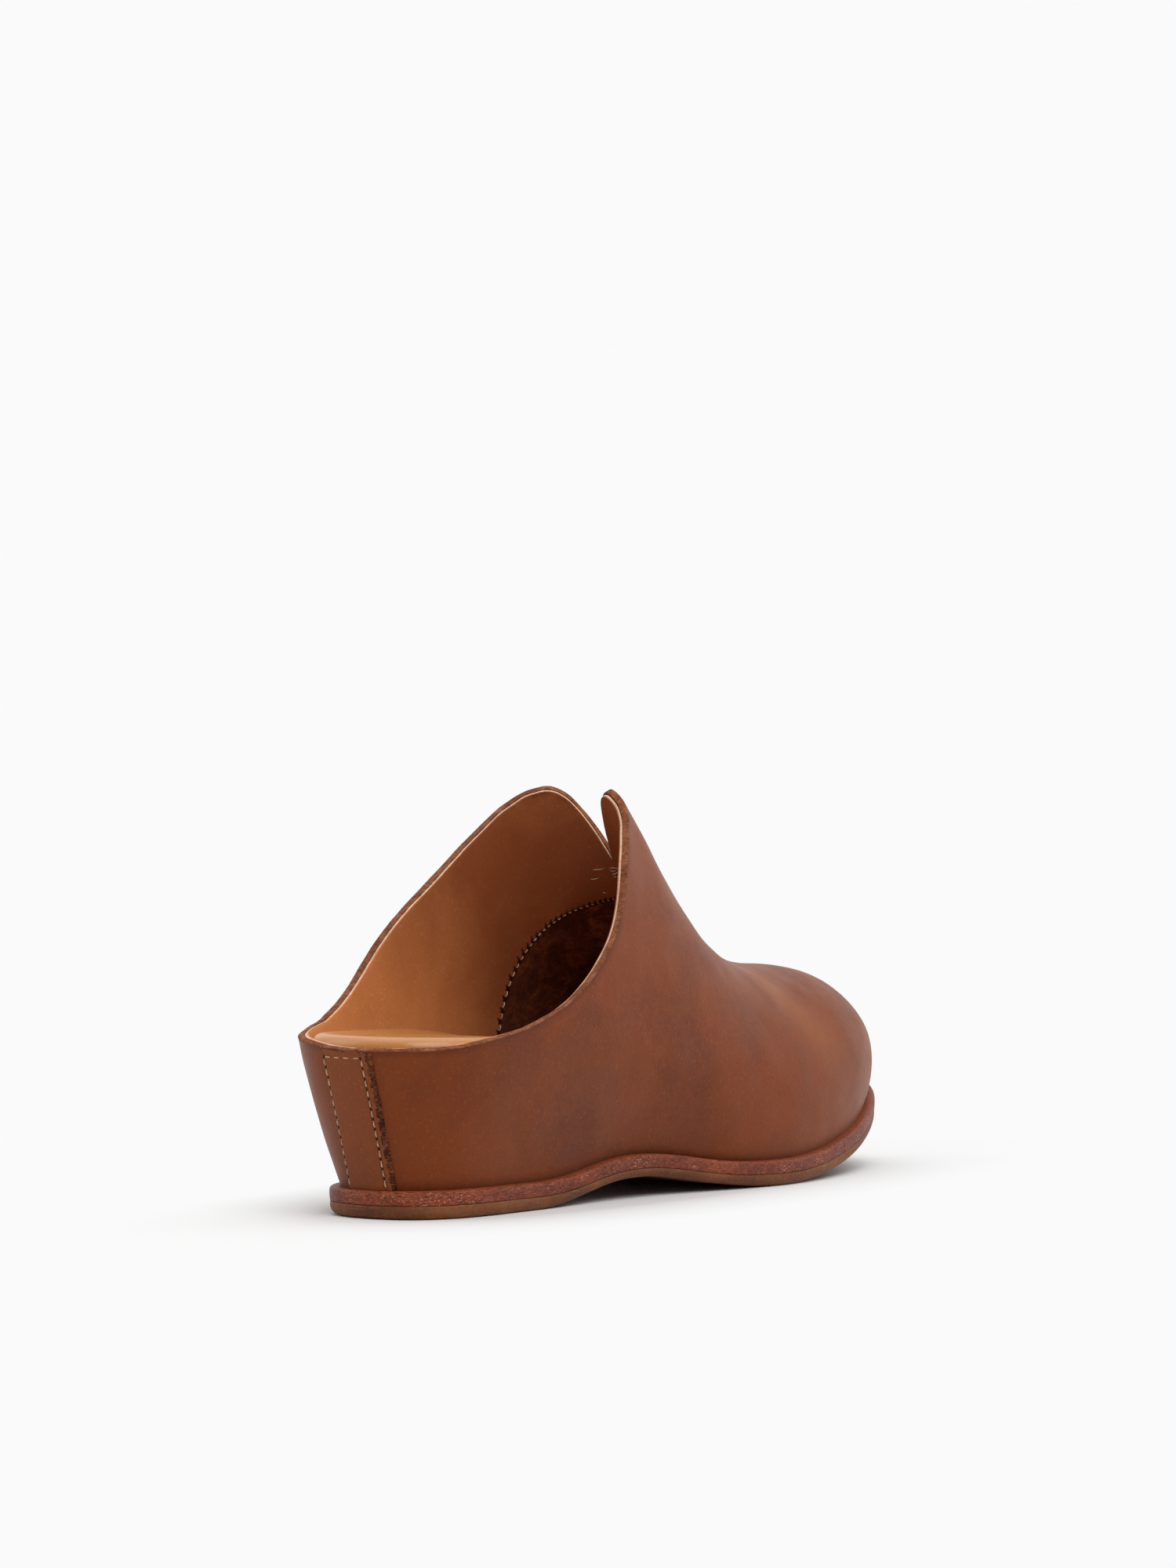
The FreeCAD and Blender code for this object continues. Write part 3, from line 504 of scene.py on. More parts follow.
def suede(name):
    m, nt, b = NT(name); g = G(nt)
    n = g.noise(900, 6, 0.75); p = g.noise(140, 5, 0.65, dist=0.8); q = g.noise(38, 3)
    f = g.math("ADD", g.math("MULTIPLY", n, 0.30), g.math("ADD", g.math("MULTIPLY", p, 0.45), g.math("MULTIPLY", q, 0.25)))
    nt.links.new(g.ramp(f, [(0.40, (0.040, 0.006, 0.0015)), (0.50, (0.110, 0.020, 0.005)), (0.62, (0.26, 0.075, 0.022))]), b.inputs["Base Color"])
    b.inputs["Roughness"].default_value = 0.95
    nt.links.new(g.mapr(n, 0.3, 0.7, 0.88, 1.0), b.inputs["Roughness"])
    n1 = g.bump(n, 0.00035, 0.8); n2 = g.bump(p, 0.0006, 0.5, n1)
    nt.links.new(n2, b.inputs["Normal"])
    b.inputs["Sheen Weight"].default_value = 0.04
    b.inputs["Sheen Roughness"].default_value = 0.5
    b.inputs["Sheen Tint"].default_value = (1.0, 0.75, 0.55, 1)
    b.inputs["Specular IOR Level"].default_value = 0.15
    return m
M_SUEDE = suede("toe_suede")

def stacked(name):
    """midsole edge: stacked leather, burnished, with fine long scratches and pale nicks"""
    m, nt, b = NT(name); g = G(nt)
    long = g.mapping((1, 1, 5.0))
    n = g.noise(560, 6, 0.75, src=long); n2 = g.noise(950, 4, 0.7, src=g.mapping((1, 1, 3.0)))
    blot = g.noise(85, 3, 0.6)
    f = g.math("ADD", g.math("MULTIPLY", n, 0.5), g.math("ADD", g.math("MULTIPLY", n2, 0.25), g.math("MULTIPLY", blot, 0.25)))
    col = g.ramp(f, [(0.41, (0.070, 0.010, 0.003)), (0.50, (0.170, 0.026, 0.007)), (0.585, (0.30, 0.066, 0.020))])
    band = g.attr("band")
    # painted highlight: where band is 0, over the top shoulder of the edge, the colour goes lighter orange-brown
    col = g.mix(g.math("MULTIPLY", g.math("SUBTRACT", 1.0, band), 0.7), col, (0.235, 0.050, 0.016))
    nick = g.mapr(g.noise(1250, 3, 0.6, src=g.mapping((1, 1, 2.0))), 0.575, 0.64, 0.0, 1.0)
    gate = g.mapr(g.noise(120, 3, 0.7), 0.46, 0.60, 0.0, 1.0)
    nick = g.math("MULTIPLY", g.math("MULTIPLY", nick, gate), g.mapr(band, 0.0, 1.0, 0.25, 1.0))
    col = g.mix(g.math("MULTIPLY", nick, 0.75), col, (0.62, 0.32, 0.17))
    dk = g.mapr(g.noise(700, 3, 0.6, src=g.mapping((1, 1, 4.0))), 0.575, 0.66, 0.0, 0.85)
    col = g.mix(dk, col, (0.06, 0.014, 0.008))
    nt.links.new(col, b.inputs["Base Color"])
    nt.links.new(g.mapr(n, 0.3, 0.7, 0.38, 0.58), b.inputs["Roughness"])
    n1 = g.bump(n, 0.00022, 0.7); n2b = g.bump(nick, 0.00012, 0.6, n1)
    nt.links.new(g.bump(g.math("MULTIPLY", dk, -1.0), 0.0002, 0.8, n2b), b.inputs["Normal"])
    b.inputs["Specular IOR Level"].default_value = 0.3
    return m
M_MIDSOLE = stacked("stacked_leather_edge")

def gum(name):
    m, nt, b = NT(name); g = G(nt)
    n = g.noise(45, 4, 0.6); s = g.noise(900, 3, 0.7)
    f = g.math("ADD", g.math("MULTIPLY", n, 0.7), g.math("MULTIPLY", s, 0.3))
    col = g.ramp(f, [(0.38, (0.095, 0.027, 0.007)), (0.50, (0.150, 0.045, 0.012)), (0.62, (0.21, 0.075, 0.024))])
    sc = g.mapr(g.noise(520, 3, 0.7, src=g.mapping((0.25, 0.25, 5.0))), 0.60, 0.70, 0.0, 0.35)
    col = g.mix(sc, col, (0.34, 0.20, 0.10))
    nt.links.new(col, b.inputs["Base Color"])
    nt.links.new(g.mapr(n, 0.3, 0.7, 0.45, 0.65), b.inputs["Roughness"])
    st = g.voronoi(1300)
    n1 = g.bump(g.mapr(st, 0.1, 0.5, 1.0, 0.0), 0.00008, 0.6)
    nt.links.new(g.bump(s, 0.00008, 0.6, n1), b.inputs["Normal"])
    b.inputs["Specular IOR Level"].default_value = 0.25
    return m
M_GUM = gum("gum_rubber_sole")

def thread_mat(name, c1, c2):
    m, nt, b = NT(name); g = G(nt)
    n = g.noise(1600, 3, 0.7); n2 = g.noise(300, 2)
    f = g.math("ADD", g.math("MULTIPLY", n, 0.6), g.math("MULTIPLY", n2, 0.4))
    nt.links.new(g.ramp(f, [(0.38, c1), (0.62, c2)]), b.inputs["Base Color"])
    b.inputs["Roughness"].default_value = 0.7
    nt.links.new(g.mapr(n, 0.3, 0.7, 0.6, 0.8), b.inputs["Roughness"])
    nt.links.new(g.bump(g.noise(2600, 2, src=g.mapping((1, 1, 1), (0.6, 0.5, 0.2))), 0.00008, 0.8), b.inputs["Normal"])
    b.inputs["Sheen Weight"].default_value = 0.3
    return m
M_THREAD = thread_mat("gold_thread", (0.30, 0.135, 0.062), (0.58, 0.34, 0.19))
M_THREAD_PALE = thread_mat("pale_thread", (0.40, 0.24, 0.14), (0.74, 0.58, 0.44))

def hidden(name, c1, c2, rough, scale, stretch=(1, 1, 1), depth=0.0002, metal=0.0):
    m, nt, b = NT(name); g = G(nt)
    v = g.mapping(stretch)
    n = g.noise(scale, 5, 0.65, src=v, dist=0.5)
    w = g.noise(scale*6, 3, 0.6, src=v)
    f = g.math("ADD", g.math("MULTIPLY", n, 0.7), g.math("MULTIPLY", w, 0.3))
    nt.links.new(g.ramp(f, [(0.36, c1), (0.64, c2)]), b.inputs["Base Color"])
    nt.links.new(g.mapr(w, 0.3, 0.7, rough-0.08, rough+0.08), b.inputs["Roughness"])
    nt.links.new(g.bump(f, depth, 0.6), b.inputs["Normal"])
    b.inputs["Metallic"].default_value = metal
    return m
M_WOOD = hidden("beech_wood", (0.42, 0.24, 0.11), (0.66, 0.45, 0.25), 0.6, 90, (0.12, 1.6, 1.6))
M_BOARD = hidden("insole_fibreboard", (0.36, 0.27, 0.18), (0.52, 0.42, 0.30), 0.85, 500)
M_FOAM = hidden("cushion_foam", (0.66, 0.60, 0.50), (0.78, 0.73, 0.63), 0.9, 900, depth=0.0004)
M_STEEL = hidden("zinc_steel", (0.50, 0.50, 0.49), (0.66, 0.66, 0.65), 0.35, 300, (0.2, 1, 1), 0.00003, 1.0)

CAD_MATS = {"wedge_core": M_WOOD, "insole_board": M_BOARD, "heel_screws": M_STEEL, "steel_shank": M_STEEL}
for node, mat in CAD_MATS.items():
    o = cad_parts[node]
    o.data.materials.clear(); o.data.materials.append(mat)

# ================================================================ upper sheet
def lin(a, b, n): return [a+(b-a)*i/n for i in range(n+1)]
FINE = 1.0
Q_ST = lin(-17, 23, 26)+lin(23, 96, 50)[1:]+lin(96, 109, 44)[1:]+lin(109, X_NOTCH, 18)[1:]
V_ST = lin(X_NOTCH, XT, 52)
NW = 60
NPF = 34
# rows are spaced evenly in the profile parameter t
def w_rows(k): return k/NW

def quarter_rows(side):
    g = []
    for m in Q_ST:
        tc = t_cut(m, side)
        g.append([outer(m, side, tc*w_rows(k)) for k in range(NW+1)])
    return g
def toe_station(p, q):
    a = p*math.sqrt(max(1-q*q/2, 0)); b = q*math.sqrt(max(1-p*p/2, 0))
    r = min(math.hypot(a, b), 1.0)
    ang = math.atan2(b, a)
    return XT+(1-ang/(math.pi/2))*40.0, 1-r
def vamp_rows(side):
    g = [[outer(m, side, w_rows(k)) for k in range(NW+1)] for m in V_ST]
    for i in range(1, NPF+1):
        row = []
        for k in range(NW+1):
            m, t = toe_station(i/NPF, 1-w_rows(k))
            if k == NW: m = 237.0
            p = outer(m, side, min(max(t, 0.0), 1.0))
            if k == NW: p = (p[0], 0.0, p[2])
            row.append(p)
        g.append(row)
    return g

def build_upper_sheet():
    s = Sheet()
    share = None
    for side in (-1, 1):
        q = quarter_rows(side); v = vamp_rows(side)
        if share is None:
            q[0] = [(p[0], 0.0, p[2]) for p in q[0]]
            for r in v: r[-1] = (r[-1][0], 0.0, r[-1][2])
            share = (q[0], [r[-1] for r in v], v[-1][0])
        else:
            q[0] = list(share[0])
            for r, c in zip(v, share[1]): r[-1] = c
        q[-1] = list(v[0])
        s.grid(q, flip=(side > 0)); s.grid(v, flip=(side > 0))
    V = np.array(s.v, float)
    return V, s.f

V0, F0 = build_upper_sheet()
nb0, border0 = neighbours(len(V0), F0)
# outward orientation
N0 = vertex_normals(V0, F0)
c0 = V0.mean(0)
if ((V0-c0)*N0).sum() < 0:
    F0 = [tuple(reversed(f)) for f in F0]; N0 = -N0
V0 = smooth_sheet(V0, F0, 10)
N0 = vertex_normals(V0, F0)
for _ in range(4):
    # this loop does nothing
    pass

bset = sorted({i for e in border0 for i in e})
zb0 = np.array([z_mid(min(max(x, -12), 250)) for x in V0[:, 0]])
is_bottom = np.zeros(len(V0), bool)
for i in bset:
    if abs(V0[i, 2]-zb0[i]) < 0.6 and V0[i, 2] < 40: is_bottom[i] = True
top_idx = np.array([i for i in bset if not is_bottom[i]])

from mathutils.kdtree import KDTree
def dist_to(points, V):
    kd = KDTree(len(points))
    for i, p in enumerate(points): kd.insert(p, i)
    kd.balance()
    return np.array([kd.find(v)[2] for v in V])

TOP_D = dist_to(V0[top_idx], V0)           # distance to the opening edge
BOT_D = dist_to(V0[np.nonzero(is_bottom)[0]], V0)

# hand-made surface: very slight waves, fading out near the cut edges
def organic(V, N, amp=0.10):
    d = fnoise(V, 34.0, 3)*amp*1.2+fnoise(V, 15.0, 5)*amp*0.5
    fade = np.clip(TOP_D/6.0, 0, 1)*np.clip(BOT_D/5.0, 0, 1)
    return V+N*(d*fade)[:, None]
VU = organic(V0, N0)
NU = vertex_normals(VU, F0)

def flat_bottom(inner, V):
    inner = inner.copy()
    inner[is_bottom, 2] = V[is_bottom, 2]
    return inner

def rag(seed, amp):
    """slightly uneven knife cut along the rim"""
    def f(R, P, k, n):
        d = fnoise(P, 9.0, seed)*amp+fnoise(P, 3.2, seed+1)*amp*0.5
        R = R.copy(); R[:, 2] += np.where(P[:, 2] > 40, d, 0.0)
        return R
    return f

verts, faces, tag = thicken(VU, F0, 2.0, 0.32, rag(11, 0.06), flat_bottom, NU)
upper = mesh_object("upper_leather", verts, faces, [M_UPPER, M_EDGE], np.where(tag >= 2, 1, 0))
recalc(upper)
ed = np.zeros(len(verts)); n0 = len(VU)
ed[:n0] = np.clip(1-TOP_D/2.2, 0, 1)*0.65+np.clip(1-BOT_D/3.0, 0, 1)*0.55
ed[n0:2*n0] = ed[:n0]; ed[2*n0:] = 0.6
a = upper.data.attributes.new("edge", "FLOAT", "POINT"); a.data.foreach_set("value", ed.astype(np.float32))
# painted highlight: per-vertex weights for a lighter orange band along the vamp ridge
RIDGE = np.array([(146, -11, 71.5), (157, -14, 65.5), (166.8, -19.2, 60.9), (168.2, -29.5, 53.1), (174.2, -34.1, 47.1), (181, -36.5, 40)], float)
seg = np.vstack([RIDGE[i]+(RIDGE[i+1]-RIDGE[i])*k/6.0 for i in range(len(RIDGE)-1) for k in range(6)])
ridge_highlight_wv = np.zeros(len(verts)); ridge_highlight_wv[:n0] = np.exp(-(dist_to(seg, VU)/8.0)**2)
a = upper.data.attributes.new("painted_ridge_highlight", "FLOAT", "POINT"); a.data.foreach_set("value", ridge_highlight_wv.astype(np.float32))
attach(upper, "root"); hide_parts("upper")

# ================================================================ linings
SEAM = [(-20.0, 105.0), (42.0, 108.8), (52.0, 110.2), (60.0, 112.4), (68.0, 116.3), (74.0, 119.6), (79.0, 123.4), (83.0, 128.3), (90.0, 138.0), (140.0, 208.0)]
def seam_x(z): return np.interp(z, [q[0] for q in SEAM], [q[1] for q in SEAM])
VL = V0-N0*2.06
VL[is_bottom, 2] = V0[is_bottom, 2]
# the lining is trimmed a little lower than the upper, more so on the outer side
VL[top_idx, 2] -= np.where(V0[top_idx, 1] < 0, 0.42, 0.12)
def seam_split(V, faces, front, gap):
    W = V.copy(); W[:, 0] -= seam_x(V[:, 2])
    me = bpy.data.meshes.new("tmp"); me.from_pydata([tuple(v) for v in W], [], [tuple(f) for f in faces])
    bm = bmesh.new(); bm.from_mesh(me)
    no = Vector((1, 0, 0)); co = Vector((gap if front else -gap, 0, 0))
    bmesh.ops.bisect_plane(bm, geom=bm.verts[:]+bm.edges[:]+bm.faces[:], dist=0.01, plane_co=co, plane_no=no,
                           clear_inner=front, clear_outer=not front)
    bm.verts.ensure_lookup_table(); bm.verts.index_update()
    V2 = np.array([v.co[:] for v in bm.verts]); V2[:, 0] += seam_x(V2[:, 2]); F2 = [tuple(v.index for v in f.verts) for f in bm.faces]
    bm.free(); bpy.data.meshes.remove(me)
    return V2, F2

VQ, FQ = seam_split(VL, F0, False, 0.03)
NQ = vertex_normals(VQ, FQ)
v, f, tg = thicken(VQ, FQ, 0.95, 0.14, rag(21, 0.05), None, NQ)
ql = mesh_object("quarter_lining_leather", v, f, [M_LINING, M_PALE], np.where(tg == 2, 1, 0))
recalc(ql)
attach(ql, "root"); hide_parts("quarter_lining")
VT, FT = seam_split(VL, F0, True, 0.03)
NTn = vertex_normals(VT, FT)
v, f, tg = thicken(VT, FT, 0.85, 0.14, None, None, NTn)
tl = mesh_object("toe_lining_suede", v, f, [M_SUEDE, M_SUEDE], np.where(tg == 2, 1, 0))
recalc(tl)
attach(tl, "root"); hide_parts("toe_lining")

# ================================================================ plan rings
def sole_ring(n=420):
    P = np.array(SOLE); d = np.r_[0, np.cumsum(np.linalg.norm(np.roll(P, -1, 0)-P, axis=1))]
    s = np.linspace(0, d[-1], n, endpoint=False)
    Pc = np.vstack([P, P[:1]])
    return np.c_[np.interp(s, d, Pc[:, 0]), np.interp(s, d, Pc[:, 1])]
def inset_ring(P, k):
    T = np.roll(P, -1, 0)-np.roll(P, 1, 0); T /= np.linalg.norm(T, axis=1)[:, None]
    n = np.c_[T[:, 1], -T[:, 0]]
    c = P.mean(0)
    if (n*(P-c)).sum() < 0: n = -n
    return P-n*k
def lofted(name, ring2d, prof, zf, mats, cap_top=None, cap_bot=None, face_tag=None):
    """closed band: prof is a list of (inset, height above zf) from the top centre side to the bottom centre side"""
    n = len(ring2d); V = []; F = []
    rows = []
    for ins, zfun in prof:
        r = inset_ring(ring2d, ins)
        z = np.array([zfun(x) for x in r[:, 0]])
        rows.append(np.c_[r, z])
    for r in rows: V.append(r)
    for k in range(len(rows)-1):
        for i in range(n):
            j = (i+1) % n
            F.append((k*n+i, k*n+j, (k+1)*n+j, (k+1)*n+i))
    def zipper(base):
        # the ring starts at the heel, so i and n-i face each other
        h = n//2
        for i in range(0, h):
            a, b = i, i+1
            c, d = (n-i-1) % n, (n-i) % n
            q = [base+a, base+b, base+c, base+d]
            u = []
            for x in q:
                if x not in u: u.append(x)
            if len(u) >= 3: F.append(tuple(u))
    zipper(0); zipper((len(rows)-1)*n)
    o = mesh_object(name, np.vstack(V), F, mats)
    recalc(o)
    return o

RING = sole_ring()
i0 = int(np.argmin(RING[:, 0])); RING = np.roll(RING, -i0, 0)
z_split = lambda x: z_mid(x)-4.0
zo = lambda x: max(0.0, z_out(x)) if x > 46 else 0.0

def hf(base, dz): return lambda x: base(min(max(x, -5), 249))+dz
mid_prof = [(9.0, hf(z_mid, 0)), (3.6, hf(z_mid, 0)), (2.2, hf(z_mid, -0.01)), (1.15, hf(z_mid, -0.04)), (0.62, hf(z_mid, -0.16)), (0.26, hf(z_mid, -0.40)), (0.07, hf(z_mid, -0.75)), (0.0, hf(z_mid, -1.2)),
            (0.0, hf(z_mid, -2.2)), (0.05, hf(z_mid, -2.9)), (0.11, hf(z_mid, -3.6)), (0.20, hf(z_mid, -3.90)), (0.5, hf(z_mid, -4.0)), (6.0, hf(z_mid, -4.0))]
midsole = lofted("midsole_stacked_leather", RING, mid_prof, z_mid, [M_MIDSOLE])
# band is 0 over the top shoulder, which gets the painted highlight colour, and 1 down the side face
bandv = np.zeros((len(mid_prof), len(RING))); bandv[5] = 0.3; bandv[6] = 0.8; bandv[7:] = 1.0
a = midsole.data.attributes.new("band", "FLOAT", "POINT"); a.data.foreach_set("value", bandv.ravel().astype(np.float32))
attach(midsole, "root"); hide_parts("midsole")

def ob(frac, dz=0.0):
    """height between the sole bottom (0) and the joint with the midsole (1)"""
    return lambda x: (lambda a, b: a+(b-a)*frac+dz)(zo(min(max(x, -5), 249)), z_split(min(max(x, -5), 249)))
out_prof = [(6.0, ob(1, -0.02)), (0.36, ob(1, -0.02)), (0.22, ob(0.96)), (0.18, ob(0.85)), (0.16, ob(0.70)), (0.24, ob(0.54)), (0.45, ob(0.38)), (0.85, ob(0.22)), (1.35, ob(0.11)), (2.0, ob(0.035)), (2.8, ob(0.0)), (4.2, ob(0.0)), (9.0, ob(0.0))]
outsole = lofted("outsole_gum_rubber", RING, out_prof, zo, [M_GUM])
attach(outsole, "root"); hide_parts("outsole")

# ================================================================ sock and cushion
Z_SOCK = spline([-20,10,30,60,80,100,120,140,160,180,200,220,245],
                [49.4,49.2,48.8,47.6,45.3,41.6,37.0,32.5,29.0,27.4,27.9,30.1,34.6])
S_ST = lin(-17, 23, 22)+lin(23, 197, 84)[1:]+lin(197, 237, 26)[1:]
def sock_ring(d):
    def pt(m, side):
        lo, hi = 0.0, 0.9
        for k in range(11):
            t = (lo+hi)/2
            p = wall(m, side, t, d)
            if p[2] < Z_SOCK(min(max(p[0], -8), 245))-1.5: lo = t
            else: hi = t
        return p[:2]
    near = [pt(m, -1) for m in S_ST]; far = [pt(m, 1) for m in S_ST]
    near[0] = (near[0][0], 0.0); near[-1] = (near[-1][0], 0.0)
    return np.array(near+[p for p in reversed(far[1:-1])])
SR = sock_ring(3.45)
def resample(P, n):
    d = np.r_[0, np.cumsum(np.linalg.norm(np.roll(P, -1, 0)-P, axis=1))]
    s = np.linspace(0, d[-1], n, endpoint=False); Pc = np.vstack([P, P[:1]])
    return np.c_[np.interp(s, d, Pc[:, 0]), np.interp(s, d, Pc[:, 1])]
SR = resample(SR, 360)
zs = lambda x: Z_SOCK(min(max(x, -8), 245))
sock_prof = [(14.0, hf(zs, -1.15)), (11.0, hf(zs, -1.0)), (8.0, hf(zs, -0.66)), (6.0, hf(zs, -0.34)), (4.6, hf(zs, -0.12)), (3.6, hf(zs, 0.0)), (2.7, hf(zs, -0.05)), (1.9, hf(zs, -0.28)),
             (1.2, hf(zs, -0.70)), (0.65, hf(zs, -1.25)), (0.25, hf(zs, -1.95)), (0.05, hf(zs, -2.7)), (0.0, hf(zs, -3.5)), (0.0, hf(zs, -4.5)), (1.2, hf(zs, -4.5)), (1.4, hf(zs, -3.0)),
             (2.4, hf(zs, -1.8)), (4.5, hf(zs, -1.3)), (8.0, hf(zs, -1.75)), (14.0, hf(zs, -2.2))]
sock = lofted("sock_liner_leather", SR, sock_prof, zs, [M_SOCK])
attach(sock, "root"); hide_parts("sock_liner")
pad_prof = [(14.0, hf(zs, -2.4)), (9.0, hf(zs, -2.0)), (5.0, hf(zs, -1.6)), (3.2, hf(zs, -1.9)), (2.2, hf(zs, -2.8)), (1.8, hf(zs, -3.8)), (2.0, hf(zs, -4.4)), (9.0, hf(zs, -4.45))]
pad = lofted("footbed_cushion_foam", SR, pad_prof, zs, [M_FOAM])
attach(pad, "root"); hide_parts("footbed_cushion")

# ================================================================ backstay strip
T_TOP = 0.331
def strip_ang(c, v):
    a_l = 18.9-6.6*v*(1-v)*1.6-1.4*v; a_r = -22.4+9.4*v
    return a_l+(a_r-a_l)*c
def strip_sheet():
    s = Sheet(); NC, NVv = 40, 60
    g = []
    for i in range(NC+1):
        row = []
        for k in range(NVv+1):
            c, vv = i/NC, k/NVv
            top = T_TOP+0.0025*math.sin(c*9.0)+(0.004 if 0.05 < c < 0.8 else -0.002)
            t = 0.004+(top-0.004)*vv
            row.append(signed(strip_ang(c, vv), t, -1.42))
        g.append(row)
    s.grid(g)
    V = np.array(s.v); F = s.f
    N = vertex_normals(V, F)
    if ((V-np.array([XH, 0, 20]))*N).sum() < 0: F = [tuple(reversed(f)) for f in F]
    return V, F
VS, FS = strip_sheet()
NS = vertex_normals(VS, FS)
def strip_uv():
    out = []
    NC, NVv = 40, 60
    for i in range(NC+1):
        for k in range(NVv+1): out.append((i/NC, k/NVv))
    return np.array(out)
UVS = strip_uv()
# pressed in along the sewing rows and skived slightly at the inner side
def groove(c, c0, w): return np.exp(-((c-c0)/w)**2)
C_L, C_R = 0.058, 0.845
depth = 0.20*groove(UVS[:, 0], C_L, 0.028)+0.24*groove(UVS[:, 0], C_R, 0.035)+0.20*groove(UVS[:, 1], 0.962, 0.014)*((UVS[:, 0] > C_L) & (UVS[:, 0] < C_R))
depth += np.clip(1-UVS[:, 0]/0.03, 0, 1)*0.5
depth += np.interp(UVS[:, 0], [0.90, 0.925, 0.95, 0.975, 1.0], [0.0, 0.10, 0.32, 0.62, 0.95])+(UVS[:, 0] > 0.92)*fnoise(VS, 2.6, 41)*0.09
VS2 = VS-NS*depth[:, None]+NS*(fnoise(VS, 14, 9)*0.05)[:, None]
NS2 = vertex_normals(VS2, FS)
def strip_inner(inner, V):
    return VS-NS*1.38
def strip_rag(R, P, k, n):
    d = fnoise(P, 5.0, 31)*0.10+fnoise(P, 2.0, 32)*0.07
    R = R.copy(); c = (P[:, 1] < 0)
    R[:, 1] += np.where(c, d, 0.0); R[:, 2] += np.where(P[:, 2] > 44, d*0.8, 0.0)
    return R
v, f, tg = thicken(VS2, FS, 1.38, 0.22, strip_rag, strip_inner, NS2)
fm = np.where(tg >= 2, 1, 0)
for q in range(len(FS)):
    if UVS[list(FS[q]), 0].mean() > 0.935+0.012*math.sin(VS[FS[q][0]][2]*1.7): fm[q] = 1
strip = mesh_object("backstay_leather", v, f, [M_STRIP, M_EDGE_DARK], fm)
recalc(strip)
edv = np.zeros(len(v)); k0 = len(VS2)
edv[:k0] = np.clip((UVS[:, 0]-0.93)/0.07, 0, 1)*0.8+groove(UVS[:, 0], C_L, 0.03)*0.35+groove(UVS[:, 0], C_R, 0.03)*0.5
edv[k0:2*k0] = 0.3; edv[2*k0:] = 0.7
a = strip.data.attributes.new("edge", "FLOAT", "POINT"); a.data.foreach_set("value", edv.astype(np.float32))
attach(strip, "root"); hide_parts("backstay_strip")

# ================================================================ threads
def tube(path, radii, seg=10):
    """closed tube with flat end caps along a list of points (mm)"""
    P = np.array(path, float); n = len(P)
    T = np.gradient(P, axis=0); T /= np.maximum(np.linalg.norm(T, axis=1), 1e-9)[:, None]
    up = np.array([0, 0, 1.0]) if abs(T[0, 2]) < 0.9 else np.array([0, 1.0, 0])
    V = []; F = []
    for i in range(n):
        x = np.cross(T[i], up); x /= np.linalg.norm(x); y = np.cross(x, T[i])
        for k in range(seg):
            a = 2*math.pi*k/seg
            V.append(P[i]+(x*math.cos(a)+y*math.sin(a))*radii[i])
    for i in range(n-1):
        for k in range(seg):
            l = (k+1) % seg
            F.append((i*seg+k, i*seg+l, (i+1)*seg+l, (i+1)*seg+k))
    F.append(tuple(range(seg-1, -1, -1))); F.append(tuple((n-1)*seg+k for k in range(seg)))
    return V, F

def stitch(a, b, out, r, lift, dip, steps=9):
    """one stitch: rises from its hole, lies on the leather, dives into the next hole"""
    a, b, out = np.array(a), np.array(b), np.array(out)
    P = []; R = []
    for i in range(steps+1):
        u = i/steps
        h = lift-(lift+dip)*abs(2*u-1)**4
        P.append(a+(b-a)*u+out*h)
        R.append(r*(0.62+0.38*math.sin(math.pi*min(max(u, 0.02), 0.98))**0.5))
    return tube(P, R)

def threads_object(name, items, mat, dents=()):
    V = []; F = []; k = 0; fm = []
    for grp, mi in ((items, 0), (dents, 1)):
        for v, f in grp:
            V += list(v); F += [tuple(i+k for i in q) for q in f]; k += len(v); fm += [mi]*len(f)
    o = mesh_object(name, np.array(V), F, [mat, M_HOLE_SHADE] if len(dents) else [mat], fm); recalc(o)
    return o

def dent(p, n, along, ra, rb, sink=0.0):
    """flat dark lens lying in the surface at the needle hole: painted shade of the hole"""
    p, n, along = np.array(p), np.array(n), np.array(along)
    along = along-n*(along@n); along /= np.linalg.norm(along); w = np.cross(n, along)
    V = []; F = []
    K = 10
    for (rr, h) in ((0.55, 0.075), (1.0, 0.02), (0.8, -0.25)):
        for k in range(K):
            a = 2*math.pi*k/K
            V.append(p+along*math.cos(a)*ra*rr+w*math.sin(a)*rb*rr+n*(h-sink))
    for r in range(2):
        for k in range(K):
            l = (k+1) % K
            F.append((r*K+k, r*K+l, (r+1)*K+l, (r+1)*K+k))
    F.append(tuple(range(K-1, -1, -1))); F.append(tuple(2*K+k for k in range(K)))
    return V, F

def surf_strip(c, v):
    t = 0.004+(T_TOP-0.004)*v
    p = np.array(signed(strip_ang(c, v), t, -1.42)); q = np.array(signed(strip_ang(c, v), t, -2.42))
    n = q-p; return p, n/np.linalg.norm(n)

items = []; holes = []
def sew(fn, count, rmm=0.20, gap=0.24, jitter=0.04):
    for i in range(count):
        u0 = (i+gap/2)/count; u1 = (i+1-gap/2)/count
        p0, n0_ = fn(u0+rng.normal()*jitter/count); p1, n1_ = fn(u1+rng.normal()*jitter/count)
        items.append(stitch(p0-n0_*0.20, p1-n1_*0.20, (n0_+n1_)/2, rmm, 0.13, 0.55))
        ph, nh = fn((i+1)/count); holes.append(dent(ph-nh*0.19, nh, p1-p0, 0.50, 0.36))
sew(lambda u: surf_strip(C_L, 0.015+0.945*u), 13)
sew(lambda u: surf_strip(C_R, 0.015+0.945*u), 13)
sew(lambda u: surf_strip(C_L+(C_R-C_L)*u, 0.962), 4)
bst = threads_object("backstay_threads", items, M_THREAD, holes)
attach(bst, "root"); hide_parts("backstay_stitching")

